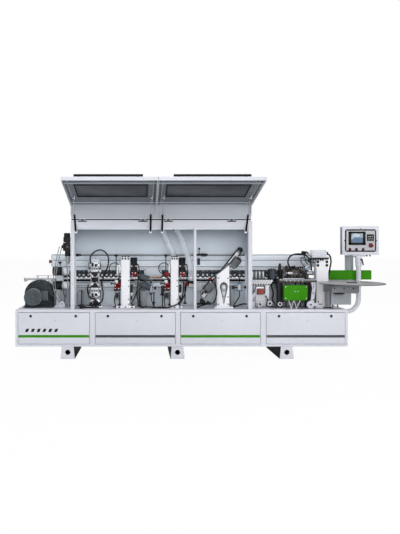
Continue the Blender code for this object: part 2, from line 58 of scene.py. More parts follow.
# ================================================================ materials
class Nodes:
    """A short way to write a node tree."""

    def __init__(self, name):
        self.material = bpy.data.materials.new(name)
        self.material.use_nodes = True
        self.tree = self.material.node_tree
        self.shader = self.tree.nodes["Principled BSDF"]

    def add(self, kind, **values):
        made = self.tree.nodes.new("ShaderNode" + kind)
        for key, value in values.items():
            setattr(made, key, value)
        return made

    def link(self, source, target):
        self.tree.links.new(source, target)
        return target.node

    def noise(self, scale, detail=3.0, stretch=(1, 1, 1), rough=0.55):
        place = self.add("TexCoord")
        fit = self.add("Mapping")
        fit.inputs["Scale"].default_value = stretch
        self.link(place.outputs["Object"], fit.inputs["Vector"])
        made = self.add("TexNoise")
        made.inputs["Scale"].default_value = scale
        made.inputs["Detail"].default_value = detail
        made.inputs["Roughness"].default_value = rough
        self.link(fit.outputs["Vector"], made.inputs["Vector"])
        return made.outputs["Fac"]

    def ramp(self, factor, stops):
        made = self.add("ValToRGB")
        ramp = made.color_ramp
        while len(ramp.elements) < len(stops):
            ramp.elements.new(0.5)
        for element, (place, colour) in zip(ramp.elements, stops):
            element.position = place
            value = (colour,) * 3 if isinstance(colour, (int, float)) else colour
            element.color = (*value, 1.0)
        self.link(factor, made.inputs["Fac"])
        return made.outputs["Color"]

    def mix(self, factor, low, high, blend="MIX"):
        made = self.add("Mix", data_type="RGBA", blend_type=blend)
        for socket, value in ((made.inputs[0], factor), (made.inputs[6], low), (made.inputs[7], high)):
            if isinstance(value, (int, float)):
                socket.default_value = value
            elif isinstance(value, tuple):
                socket.default_value = (*value, 1.0)
            else:
                self.link(value, socket)
        return made.outputs[2]

    def edges(self, radius=0.004):
        """About 1 along convex and concave edges, 0 on flat faces."""
        bevel = self.add("Bevel", samples=4)
        bevel.inputs["Radius"].default_value = radius
        plain = self.add("NewGeometry")
        dot = self.add("VectorMath", operation="DOT_PRODUCT")
        self.link(bevel.outputs["Normal"], dot.inputs[0])
        self.link(plain.outputs["Normal"], dot.inputs[1])
        return self.ramp(dot.outputs["Value"], ((0.86, 1.0), (0.985, 0.0)))

    def bump(self, height, strength, distance=0.001):
        made = self.add("Bump")
        made.inputs["Strength"].default_value = strength
        made.inputs["Distance"].default_value = distance
        self.link(height, made.inputs["Height"])
        self.link(made.outputs["Normal"], self.shader.inputs["Normal"])

    def set(self, **values):
        for key, value in values.items():
            socket = self.shader.inputs[key.replace("_", " ")]
            if isinstance(value, bpy.types.NodeSocket):
                self.link(value, socket)
            else:
                socket.default_value = value


def shade(colour, factor):
    return tuple(min(1.0, part * factor) for part in colour)


def paint(name, colour, rough=0.38, worn=0.25, peel=0.05, dirt=0.10, coat=0.08, shine=0.30):
    """Powder coat: fine orange peel, faint blotches, a little dust and paler, polished edges."""
    n = Nodes(name)
    blotch = n.ramp(n.noise(2.6, 4.0), ((0.3, shade(colour, 1.0 - dirt)), (0.7, colour)))
    dust = n.ramp(n.noise(38.0, 6.0), ((0.52, 0.0), (0.80, 1.0)))
    dusty = n.mix(dust, blotch, n.mix(0.10, blotch, (0.42, 0.40, 0.37)))
    rim = n.mix(n.edges(), dusty, n.mix(worn, dusty, shade(colour, 1.5)))
    n.set(Base_Color=rim, Roughness=n.ramp(n.noise(17.0), ((0.3, rough - 0.06), (0.75, rough + 0.10))),
          Coat_Weight=coat, Coat_Roughness=0.25, Specular_IOR_Level=shine)
    n.bump(n.noise(820.0, 2.0), peel, 0.0006)
    return n.material


def painted_shade_paint(name, colour, dark, low, high):
    """Powder coat with painted shade: full colour at height low, greying to dark at height high, standing in for the
    shadow under the hood.
    """
    n = Nodes(name)
    place = n.add("NewGeometry")
    parts = n.add("SeparateXYZ")
    n.link(place.outputs["Position"], parts.inputs["Vector"])
    fit = n.add("MapRange", interpolation_type="SMOOTHSTEP")
    fit.inputs["From Min"].default_value = low
    fit.inputs["From Max"].default_value = high
    n.link(parts.outputs["Z"], fit.inputs["Value"])
    blotch = n.ramp(n.noise(1.6, 4.0), ((0.3, shade(colour, 0.90)), (0.7, colour)))
    n.set(Base_Color=n.mix(fit.outputs["Result"], blotch, shade(colour, dark)),
          Roughness=n.ramp(n.noise(17.0), ((0.3, 0.34), (0.75, 0.50))), Specular_IOR_Level=0.3)
    n.bump(n.noise(820.0, 2.0), 0.05, 0.0006)
    return n.material


def metal(name, colour, rough=0.3, grain=(1, 1, 60), marks=0.35, bump=0.06):
    """Machined metal with drawn grain along one direction and smudged roughness."""
    n = Nodes(name)
    lines = n.noise(36.0, 5.0, grain)
    smudge = n.noise(9.0, 4.0)
    tone = n.mix(n.ramp(lines, ((0.3, 0.0), (0.7, 1.0))), shade(colour, 1.0 - marks * 0.5), colour)
    tone = n.mix(n.ramp(smudge, ((0.45, 0.0), (0.75, marks))), tone, shade(colour, 0.72))
    n.set(Base_Color=tone, Metallic=1.0, Roughness=n.ramp(smudge, ((0.3, rough), (0.8, rough + 0.18))))
    n.bump(lines, bump, 0.0006)
    return n.material


def casting(name, colour, rough=0.5):
    """Painted sand casting: coarse skin, oily patches and chipped edges."""
    n = Nodes(name)
    patch = n.mix(n.ramp(n.noise(11.0, 5.0), ((0.4, 0.0), (0.7, 1.0))), colour, shade(colour, 1.6))
    chips = n.mix(n.edges(0.003), patch, n.mix(0.45, patch, (0.30, 0.31, 0.32)))
    n.set(Base_Color=chips, Roughness=n.ramp(n.noise(23.0), ((0.3, rough - 0.14), (0.7, rough + 0.15))),
          Specular_IOR_Level=0.25)
    n.bump(n.noise(240.0, 5.0), 0.28, 0.0014)
    return n.material


def rubber(name, colour, rough=0.7):
    """Moulded rubber with a dry bloom and fine pitting."""
    n = Nodes(name)
    bloom = n.mix(n.ramp(n.noise(30.0, 5.0), ((0.45, 0.0), (0.8, 0.5))), colour, shade(colour, 2.6))
    n.set(Base_Color=bloom, Roughness=n.ramp(n.noise(60.0), ((0.3, rough - 0.1), (0.7, rough + 0.15))),
          Specular_IOR_Level=0.15)
    n.bump(n.noise(560.0, 4.0), 0.2, 0.0008)
    return n.material


def plastic(name, colour, rough=0.32, texture=0.10):
    """Injection-moulded plastic: spark-eroded texture, slight gloss changes and rubbed edges."""
    n = Nodes(name)
    tone = n.mix(n.ramp(n.noise(14.0, 3.0), ((0.35, 0.0), (0.7, 1.0))), shade(colour, 0.88), colour)
    tone = n.mix(n.edges(0.0018), tone, n.mix(0.3, tone, shade(colour, 1.9)))
    n.set(Base_Color=tone, Roughness=n.ramp(n.noise(42.0), ((0.3, rough - 0.06), (0.7, rough + 0.1))),
          Specular_IOR_Level=0.20)
    n.bump(n.noise(950.0, 2.0), texture, 0.0005)
    return n.material


def buffing_cloth(name):
    """Sewn cotton discs: layered along the axle, fluffy and slightly stained."""
    n = Nodes(name)
    layers = n.noise(5.0, 2.0, (130, 1, 1))
    fluff = n.noise(420.0, 6.0)
    tone = n.ramp(layers, ((0.3, (0.70, 0.73, 0.75)), (0.6, (0.90, 0.93, 0.95))))
    n.set(Base_Color=n.mix(n.ramp(n.noise(25.0), ((0.55, 0.0), (0.8, 0.4))), tone, (0.64, 0.65, 0.66)),
          Roughness=0.95, Sheen_Weight=0.6)
    n.bump(n.mix(0.5, layers, fluff), 0.7, 0.003)
    return n.material


def smoked_window(name):
    """Smoked polycarbonate: dark, half see-through and faintly scratched."""
    n = Nodes(name)
    haze = n.noise(6.0, 4.0)
    scratch = n.noise(40.0, 6.0, (1, 30, 1))
    n.set(Base_Color=n.ramp(haze, ((0.3, (0.040, 0.044, 0.050)), (0.7, (0.062, 0.068, 0.076)))),
          Roughness=n.ramp(scratch, ((0.5, 0.30), (0.8, 0.42))), Alpha=0.93, Specular_IOR_Level=0.2)
    n.bump(scratch, 0.03, 0.0004)
    return n.material


def clear_hose(name, colour, alpha):
    """Ribbed see-through duct with sawdust haze inside."""
    n = Nodes(name)
    haze = n.noise(13.0, 5.0)
    n.set(Base_Color=n.ramp(haze, ((0.3, colour), (0.8, shade(colour, 0.82)))), Roughness=0.28,
          Alpha=n.ramp(haze, ((0.3, alpha), (0.7, min(1.0, alpha + 0.2)))), Specular_IOR_Level=0.6)
    n.bump(n.noise(90.0, 3.0), 0.2, 0.001)
    return n.material


def laminate(name):
    """Brown-grey laminated board with a faint stretched grain."""
    n = Nodes(name)
    grain = n.noise(16.0, 7.0, (1, 9, 1), 0.65)
    tone = n.ramp(grain, ((0.3, (0.27, 0.26, 0.27)), (0.7, (0.38, 0.365, 0.38))))
    n.set(Base_Color=n.mix(n.edges(0.002), tone, (0.50, 0.47, 0.45)),
          Roughness=n.ramp(n.noise(8.0), ((0.3, 0.28), (0.7, 0.42))))
    n.bump(grain, 0.06, 0.0006)
    return n.material


def screen_glass(name):
    """Lit touch screen: a pale blue field with soft plain areas and faint scan lines."""
    n = Nodes(name)
    place = n.add("TexCoord")
    fit = n.add("Mapping")
    fit.inputs["Scale"].default_value = (11.0, 1.0, 15.0)
    n.link(place.outputs["Object"], fit.inputs["Vector"])
    cells = n.add("TexVoronoi", distance="CHEBYCHEV")
    cells.inputs["Scale"].default_value = 1.0
    cells.inputs["Randomness"].default_value = 0.55
    n.link(fit.outputs["Vector"], cells.inputs["Vector"])
    tone = n.ramp(cells.outputs["Color"], ((0.2, (0.085, 0.15, 0.24)), (0.55, (0.21, 0.29, 0.37)),
                                           (0.85, (0.40, 0.48, 0.54))))
    n.set(Base_Color=tone, Roughness=0.12, Emission_Color=tone, Emission_Strength=0.10, Coat_Weight=0.5)
    n.bump(n.noise(1400.0, 1.0, (0.02, 1, 1)), 0.02, 0.0002)
    return n.material


MATERIALS = {
    "white_paint": paint("white_paint", (0.70, 0.71, 0.765), 0.36, 0.2, 0.05, 0.05),
    # painted light: a brighter copy of the white paint, standing in for the stronger front light on the columns and
    # other parts that use it
    "bright_paint": paint("bright_paint", (0.93, 0.93, 0.96), 0.34, 0.1, 0.04, 0.04),
    # painted light: a bluer, brighter copy of the white paint, standing in for the cool, dim light inside the shaded
    # machine
    "interior_paint": paint("interior_paint", (0.84, 0.90, 0.96), 0.42, 0.15, 0.05, 0.10),
    # painted shade: the rear panel darkens towards its top where the hood shades it, and its blue-grey tint is painted
    # cool shade-light
    "rear_panel_paint": painted_shade_paint("rear_panel_paint", (0.62, 0.69, 0.76), 0.50, 1.28, 1.60),
    # dark paint; on the sheets inside the hoods it is painted shade
    "liner_and_shade_paint": paint("liner_and_shade_paint", (0.155, 0.170, 0.190), 0.5, 0.10, 0.05, 0.15),
    # painted shade: mid grey for the sheet on the hood's inner rise
    "rise_shade_paint": paint("rise_shade_paint", (0.47, 0.50, 0.55), 0.5, 0.10, 0.05, 0.08),
    "dark_frame_paint": paint("dark_frame_paint", (0.055, 0.06, 0.065), 0.5, 0.5, 0.08, 0.3),
    # painted shade: near black for the shadowed sides of the feet
    "foot_shade_paint": paint("foot_shade_paint", (0.030, 0.033, 0.038), 0.6, 0.2, 0.08, 0.3, 0.0, 0.1),
    "green_paint": paint("green_paint", (0.042, 0.262, 0.004), 0.42, 0.10, 0.05, 0.10, 0.0, 0.06),
    "grey_paint": paint("grey_paint", (0.215, 0.225, 0.24), 0.42, 0.3, 0.06, 0.15),
    "saw_grey": paint("saw_grey", (0.135, 0.150, 0.165), 0.40, 0.3, 0.06, 0.2),
    "light_grey": paint("light_grey", (0.38, 0.41, 0.44), 0.42, 0.2, 0.05, 0.12),
    "console_grey": paint("console_grey", (0.50, 0.50, 0.52), 0.4, 0.2, 0.05, 0.08),
    "stripe_grey": paint("stripe_grey", (0.060, 0.062, 0.070), 0.35, 0.2, 0.04, 0.1),
    "glue_brown": paint("glue_brown", (0.085, 0.068, 0.066), 0.42, 0.6, 0.12, 0.35),
    "motor_paint": casting("motor_paint", (0.056, 0.070, 0.080)),
    "gear_casting": casting("gear_casting", (0.020, 0.028, 0.031)),
    "motor_red": casting("motor_red", (0.24, 0.045, 0.030), 0.42),
    "bronze": metal("bronze", (0.46, 0.27, 0.17), 0.34, (1, 1, 12), 0.6),
    "aluminium": metal("aluminium", (0.50, 0.52, 0.55), 0.34, (60, 1, 1), 0.25),
    "steel": metal("steel", (0.62, 0.62, 0.64), 0.24, (1, 60, 1)),
    "chrome_rod": metal("chrome_rod", (0.82, 0.82, 0.84), 0.10, (1, 1, 4), 0.12, 0.02),
    "black_steel": plastic("black_steel", (0.003, 0.003, 0.004), 0.34, 0.03),
    "red_anodised": metal("red_anodised", (0.21, 0.020, 0.020), 0.40, (50, 1, 1), 0.4),
    "chain_pads": rubber("chain_pads", (0.016, 0.016, 0.018)),
    "roller_rubber": rubber("roller_rubber", (0.058, 0.068, 0.080), 0.6),
    "black_plastic": plastic("black_plastic", (0.011, 0.011, 0.013), 0.38),
    "red_plastic": plastic("red_plastic", (0.18, 0.013, 0.018), 0.30),
    "blue_plastic": plastic("blue_plastic", (0.10, 0.24, 0.36), 0.3),
    "white_plastic": plastic("white_plastic", (0.78, 0.79, 0.81), 0.34),
    "cable_black": rubber("cable_black", (0.009, 0.009, 0.010), 0.5),
    "air_hose": plastic("air_hose", (0.30, 0.32, 0.35), 0.35, 0.03),
    "buff_cloth": buffing_cloth("buff_cloth"),
    "tinted_window": smoked_window("tinted_window"),
    "dust_hose": clear_hose("dust_hose", (0.93, 0.96, 1.0), 0.24),
    "filter_bowl": clear_hose("filter_bowl", (0.30, 0.34, 0.33), 0.86),
    "disc_laminate": laminate("disc_laminate"),
    "screen_glass": screen_glass("screen_glass"),
}


# ================================================================ shapes
class Shape:
    """Collects the mesh of one piece from rounded blocks, turned parts, swept tubes and plates."""

    def __init__(self):
        self.bm = bmesh.new()

    def _take(self, part, soft=0.0, steps=2):
        if soft > 0:
            sharp = [e for e in part.edges if len(e.link_faces) == 2 and e.calc_face_angle(0) > 0.5]
            bmesh.ops.bevel(part, geom=sharp, offset=soft, segments=steps, profile=0.6,
                            affect="EDGES", clamp_overlap=True)
        data = bpy.data.meshes.new("scratch")
        part.to_mesh(data)
        part.free()
        self.bm.from_mesh(data)
        bpy.data.meshes.remove(data)
        return self

    def block(self, low, high, soft=0.002, turn=None):
        """A rounded box; turn is (angle in degrees, axis) about its middle."""
        part = bmesh.new()
        bmesh.ops.create_cube(part, size=1.0)
        size = [abs(b - a) for a, b in zip(low, high)]
        middle = Vector([(a + b) / 2 for a, b in zip(low, high)])
        bmesh.ops.scale(part, vec=size, verts=part.verts)
        if soft:
            soft = min(soft, min(size) * 0.3)
            bmesh.ops.bevel(part, geom=part.edges[:], offset=soft, segments=2, profile=0.6, affect="EDGES")
        if turn:
            bmesh.ops.rotate(part, matrix=Matrix.Rotation(radians(turn[0]), 3, turn[1]), verts=part.verts)
        bmesh.ops.translate(part, vec=middle, verts=part.verts)
        return self._take(part)

    def turned(self, start, axis, profile, sides=28):
        """A lathe shape: profile lists (distance along axis, radius) and closes on the axis."""
        axis = Vector(axis).normalized()
        side = axis.orthogonal().normalized()
        third = axis.cross(side)
        start = Vector(start)
        part = bmesh.new()
        rings = []
        for along, radius in profile:
            if radius < 1e-6:
                rings.append([part.verts.new(start + axis * along)])
                continue
            rings.append([part.verts.new(start + axis * along + (side * cos(a) + third * sin(a)) * radius)
                          for a in (2 * pi * i / sides for i in range(sides))])
        for low, high in zip(rings, rings[1:]):
            for i in range(sides):
                j = (i + 1) % sides
                corners = [low[i % len(low)], low[j % len(low)], high[j % len(high)], high[i % len(high)]]
                corners = list(dict.fromkeys(corners))
                if len(corners) > 2:
                    part.faces.new(corners)
        bmesh.ops.recalc_face_normals(part, faces=part.faces)
        return self._take(part)

    def rod(self, start, end, radius, soft=0.001, sides=28, tip=None):
        start, end = Vector(start), Vector(end)
        length = (end - start).length
        tip = radius if tip is None else tip
        soft = min(soft, radius * 0.4, tip * 0.4, length * 0.3)
        profile = [(0, 0), (0, radius - soft), (soft * 0.3, radius - soft * 0.3), (soft, radius),
                   (length - soft, tip), (length - soft * 0.3, tip - soft * 0.3), (length, tip - soft),
                   (length, 0)]
        return self.turned(start, end - start, profile, sides)

    def finned(self, start, end, radius, pitch=0.010, depth=0.004, sides=32):
        """A motor body with cooling fins round it."""
        start, end = Vector(start), Vector(end)
        length = (end - start).length
        count = max(2, int(length / pitch))
        profile = [(0, 0), (0, radius - depth)]
        for i in range(count):
            at = length * i / count
            step = length / count
            profile += [(at + step * 0.15, radius - depth), (at + step * 0.25, radius),
                        (at + step * 0.65, radius), (at + step * 0.75, radius - depth)]
        profile += [(length, radius - depth), (length, 0)]
        return self.turned(start, end - start, profile, sides)

    def bolt(self, place, axis, size=0.008, height=0.006):
        """A socket-head screw with its washer and recess, standing on place along axis."""
        washer = height * 0.2
        profile = [(0, 0), (0, size * 1.35), (washer, size * 1.35), (washer, size), (height, size),
                   (height + size * 0.15, size * 0.85), (height + size * 0.15, size * 0.45),
                   (height * 0.5, size * 0.45), (height * 0.5, 0)]
        return self.turned(place, axis, profile, 12)

    def nut(self, place, axis, size=0.010, height=0.007):
        return self.turned(place, axis, [(0, 0), (0, size), (height * 0.8, size), (height, size * 0.82),
                                         (height, 0)], 6)

    def ring(self, centre, axis, radius, thick, sides=36, around=10):
        """A torus."""
        axis = Vector(axis).normalized()
        side = axis.orthogonal().normalized()
        third = axis.cross(side)
        points = []
        for i in range(sides):
            a = 2 * pi * i / sides
            points.append(Vector(centre) + (side * cos(a) + third * sin(a)) * radius)
        return self.sweep(points, thick, around, closed=True)

    def sweep(self, points, radius, around=10, closed=False, ribs=0.0):
        """A round tube along points; ribs swells every other ring."""
        points = [Vector(p) for p in points]
        part = bmesh.new()
        count = len(points)
        rings = []
        normal = None
        for i, point in enumerate(points):
            ahead = points[(i + 1) % count] if closed or i + 1 < count else point
            behind = points[i - 1] if closed or i > 0 else point
            along = (ahead - behind).normalized()
            if normal is None:
                normal = along.orthogonal().normalized()
            normal = (normal - along * normal.dot(along)).normalized()
            third = along.cross(normal)
            size = radius * (1 + ribs * (i % 2))
            rings.append([part.verts.new(point + (normal * cos(a) + third * sin(a)) * size)
                          for a in (2 * pi * k / around for k in range(around))])
        pairs = list(zip(rings, rings[1:]))
        if closed:
            last, first = rings[-1], rings[0]
            shift = min(range(around), key=lambda k: (first[k].co - last[0].co).length)
            pairs.append((last, first[shift:] + first[:shift]))
        for low, high in pairs:
            for k in range(around):
                j = (k + 1) % around
                part.faces.new((low[k], low[j], high[j], high[k]))
        if not closed:
            part.faces.new(list(reversed(rings[0])))
            part.faces.new(rings[-1])
        bmesh.ops.recalc_face_normals(part, faces=part.faces)
        return self._take(part)

    def cable(self, knots, radius=0.006, around=8, steps=8, ribs=0.0):
        """A round cable through knots, bent smoothly between them."""
        return self.sweep(smooth_line(knots, steps), radius, around, ribs=ribs)

    def plate(self, outline, axis, low, high, soft=0.0015):
        """A flat outline, given across and up, spanning low to high along axis X, Y or Z."""
        part = bmesh.new()
        corners = []
        for across, up in outline:
            if axis == "Y":
                corners.append(part.verts.new((across, low, up)))
            elif axis == "X":
                corners.append(part.verts.new((low, across, up)))
            else:
                corners.append(part.verts.new((across, up, low)))
        face = part.faces.new(corners)
        made = bmesh.ops.extrude_face_region(part, geom=[face])
        moved = [v for v in made["geom"] if isinstance(v, bmesh.types.BMVert)]
        shift = {"X": X, "Y": Y, "Z": Z}[axis] * (high - low)
        bmesh.ops.translate(part, vec=shift, verts=moved)
        bmesh.ops.recalc_face_normals(part, faces=part.faces)
        return self._take(part, soft)

    def make(self, name, body, material, smooth=35):
        """Finishes the piece and rides it on a CAD body."""
        data = bpy.data.meshes.new(name)
        self.bm.to_mesh(data)
        self.bm.free()
        data.materials.append(MATERIALS[material])
        data.shade_smooth()
        data.set_sharp_from_angle(angle=radians(smooth))
        made = bpy.data.objects.new(name, data)
        bpy.context.scene.collection.objects.link(made)
        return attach(made, body)


def smooth_line(knots, steps=8):
    """Points on a Catmull-Rom line through the knots."""
    knots = [Vector(k) for k in knots]
    ends = [knots[0] * 2 - knots[1], *knots, knots[-1] * 2 - knots[-2]]
    line = []
    for a, b, c, d in zip(ends, ends[1:], ends[2:], ends[3:]):
        for i in range(steps):
            t = i / steps
            line.append(0.5 * (2 * b + (c - a) * t + (2 * a - 5 * b + 4 * c - d) * t * t
                               + (3 * b - 3 * c + d - a) * t ** 3))
    line.append(knots[-1])
    return line


def arc(centre, radius, start, stop, steps):
    turns = [radians(start + (stop - start) * i / steps) for i in range(steps + 1)]
    return [(centre[0] + radius * cos(a), centre[1] + radius * sin(a)) for a in turns]


# ================================================================ carried-over CAD nodes
NODE_FINISH = {entry["node"]: entry["material_slot"] for entry in frame["record"]["subparts"]}
NODE_FINISH["feed_gearmotor"] = "gear_casting"
SOFT_EDGE = {"base_cabinet": 0.004, "hood_frame": 0.002, "hood_left": 0.0015, "hood_right": 0.0015,
             "control_box": 0.008, "glue_cover": 0.006, "infeed_fence": 0.002, "tape_disc": 0.003,
             "feed_gearmotor": 0.004, "control_arm": 0.001}


def finish_nodes():
    """Gives each CAD node its finish and rounds its edges."""
    for name, node in frame["nodes"].items():
        node.data.materials.clear()
        node.data.materials.append(MATERIALS[NODE_FINISH[name]])
        weld = node.modifiers.new("weld", "WELD")
        weld.merge_threshold = 0.00002
        planar = node.modifiers.new("planar", "DECIMATE")
        planar.decimate_type = "DISSOLVE"
        planar.angle_limit = radians(0.5)
        edge = node.modifiers.new("edge", "BEVEL")
        edge.width = SOFT_EDGE.get(name, 0.0012)
        edge.segments = 2
        edge.limit_method = "ANGLE"
        edge.angle_limit = radians(40)
        edge.harden_normals = True
        node.data.shade_smooth()
        node.data.set_sharp_from_angle(angle=radians(40))


finish_nodes()


# ================================================================ base
def front_panel_details():
    stripes = ("green_paint", "stripe_grey", "green_paint", "stripe_grey")
    for number, stripe in enumerate(stripes, 1):
        body = f"front_panel_{number}"
        low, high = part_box(body)
        face = low.y
        band = Shape()
        band.block((low.x + 0.002, face - 0.0008, 0.2585), (high.x - 0.002, face + 0.001, 0.2895), 0.0003)
        band.make(f"panel_stripe_{number}", body, stripe)
        locks = Shape()
        for inset in (low.x + 0.150, high.x - 0.165):
            locks.turned((inset, face + 0.001, 0.516), -Y,
                         [(0, 0), (0, 0.016), (0.004, 0.016), (0.005, 0.0145), (0.005, 0.010), (0.003, 0.0095),
                          (0.003, 0)], 28)
            locks.block((inset - 0.0085, face - 0.006, 0.5142), (inset + 0.0085, face - 0.001, 0.5178), 0.0008)
        locks.make(f"panel_locks_{number}", body, "black_plastic")
        rim = Shape()
        rim.ring(((low.x + high.x) / 2 + 0.02, face - 0.0005, 0.458), Y, 0.007, 0.0015, 20, 6)
        rim.make(f"panel_plug_{number}", body, "aluminium")
    vents = Shape()
    hoods = Shape()
    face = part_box("front_panel_1")[0].y
    for index in range(6):
        start = -1.885 + index * 0.070
        slot = [(start, 0.325), (start + 0.034, 0.325), (start + 0.052, 0.368), (start + 0.018, 0.368)]
        vents.plate(slot, "Y", face - 0.0012, face + 0.001, 0.0003)
        lip = [(start + 0.016, 0.3655), (start + 0.054, 0.3655), (start + 0.055, 0.372), (start + 0.017, 0.372)]
        hoods.plate(lip, "Y", face - 0.006, face + 0.001, 0.001)
    vents.make("panel_vent_slots", "front_panel_1", "black_plastic")
    hoods.make("panel_vent_lips", "front_panel_1", "white_paint")


def base_details():
    low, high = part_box("base_cabinet")
    deck = high.z
    seams = Shape()
    for left, right in ((-1.96, -1.0), (-0.97, 0.0), (0.03, 1.0), (1.03, 1.96)):
        seams.block((left, high.y - 0.002, 0.185), (right, high.y + 0.0035, 0.555), 0.0025)
    for side, face in ((-1, low.x), (1, high.x)):
        seams.block((face - 0.0035, -0.34, 0.190), (face + 0.0035, -0.10 if side > 0 else 0.34, 0.550), 0.0025)
    seams.make("base_access_covers", BASE, "white_paint")
    slots = Shape()
    for left in (-1.96, -0.97, 0.03, 1.03):
        for row in range(6):
            height = 0.240 + row * 0.020
            slots.block((left + 0.30, high.y + 0.002, height), (left + 0.62, high.y + 0.0055, height + 0.006), 0.001)
    for row in range(6):
        height = 0.260 + row * 0.022
        slots.block((low.x - 0.0055, -0.12, height), (low.x - 0.002, 0.14, height + 0.007), 0.001)
    slots.make("base_vents", BASE, "black_plastic")
    screws = Shape()
    for left, right in ((-1.96, -1.0), (-0.97, 0.0), (0.03, 1.0), (1.03, 1.96)):
        for place in (left + 0.03, right - 0.03):
            for height in (0.210, 0.530):
                screws.bolt((place, high.y + 0.003, height), Y, 0.006, 0.004)
    for place in (-0.31, 0.31):
        for height in (0.215, 0.525):
            screws.bolt((low.x - 0.003, place, height), -X, 0.006, 0.004)
    for place in (-0.31, -0.13):
        for height in (0.215, 0.525):
            screws.bolt((high.x + 0.003, place, height), X, 0.006, 0.004)
    screws.make("base_cover_screws", BASE, "steel")
    lip = Shape()
    lip.block((low.x + 0.002, low.y + 0.002, deck - 0.001), (high.x - 0.002, low.y + 0.012, deck + 0.004), 0.0012)
    lip.block((low.x + 0.002, high.y - 0.012, deck - 0.001), (high.x - 0.002, high.y - 0.002, deck + 0.004), 0.0012)
    lip.make("deck_lips", BASE, "white_paint")
    feet = Shape()
    for centre in (-1.37, -0.05, 1.265):
        for side in (low.y + 0.06, high.y - 0.06):
            for offset in (-0.045, 0.045):
                feet.nut((centre + offset, side, 0.1495), -Z, 0.011, 0.009)
        for side in (low.y - 0.0008, high.y - 0.0012):
            feet.ring((centre, side + 0.001, 0.081), Y, 0.0315, 0.0022, 28, 8)
    feet.make("foot_bolts", BASE, "steel")
    sides, bores = Shape(), Shape()
    for centre in (-1.37, -0.05, 1.265):
        bores.turned((centre, low.y + 0.002, 0.081), Y, [(0, 0.0280), (0, 0.0297), (0.796, 0.0297), (0.796, 0.0280),
                                                        (0, 0.0280)], 28)
        bores.turned((centre, -0.004, 0.081), Y, [(0, 0), (0, 0.0285), (0.004, 0.0285), (0.008, 0.020), (0.008, 0)], 28)
        for way in (-1, 1):
            flank = [(centre + way * 0.0853, 0.002), (centre + way * 0.0863, 0.002), (centre + way * 0.0715, 0.148),
                     (centre + way * 0.0703, 0.148)]
            sides.plate(flank, "Y", low.y + 0.006, high.y - 0.006, 0)
    # painted shade: near-black plates on the feet's sides stand in for the shadow under the base
    sides.make("foot_side_painted_shade", BASE, "foot_shade_paint")
    # painted shade: dark linings and stoppers inside the foot bores make the holes read as dark
    bores.make("foot_bore_painted_shade", BASE, "chain_pads")


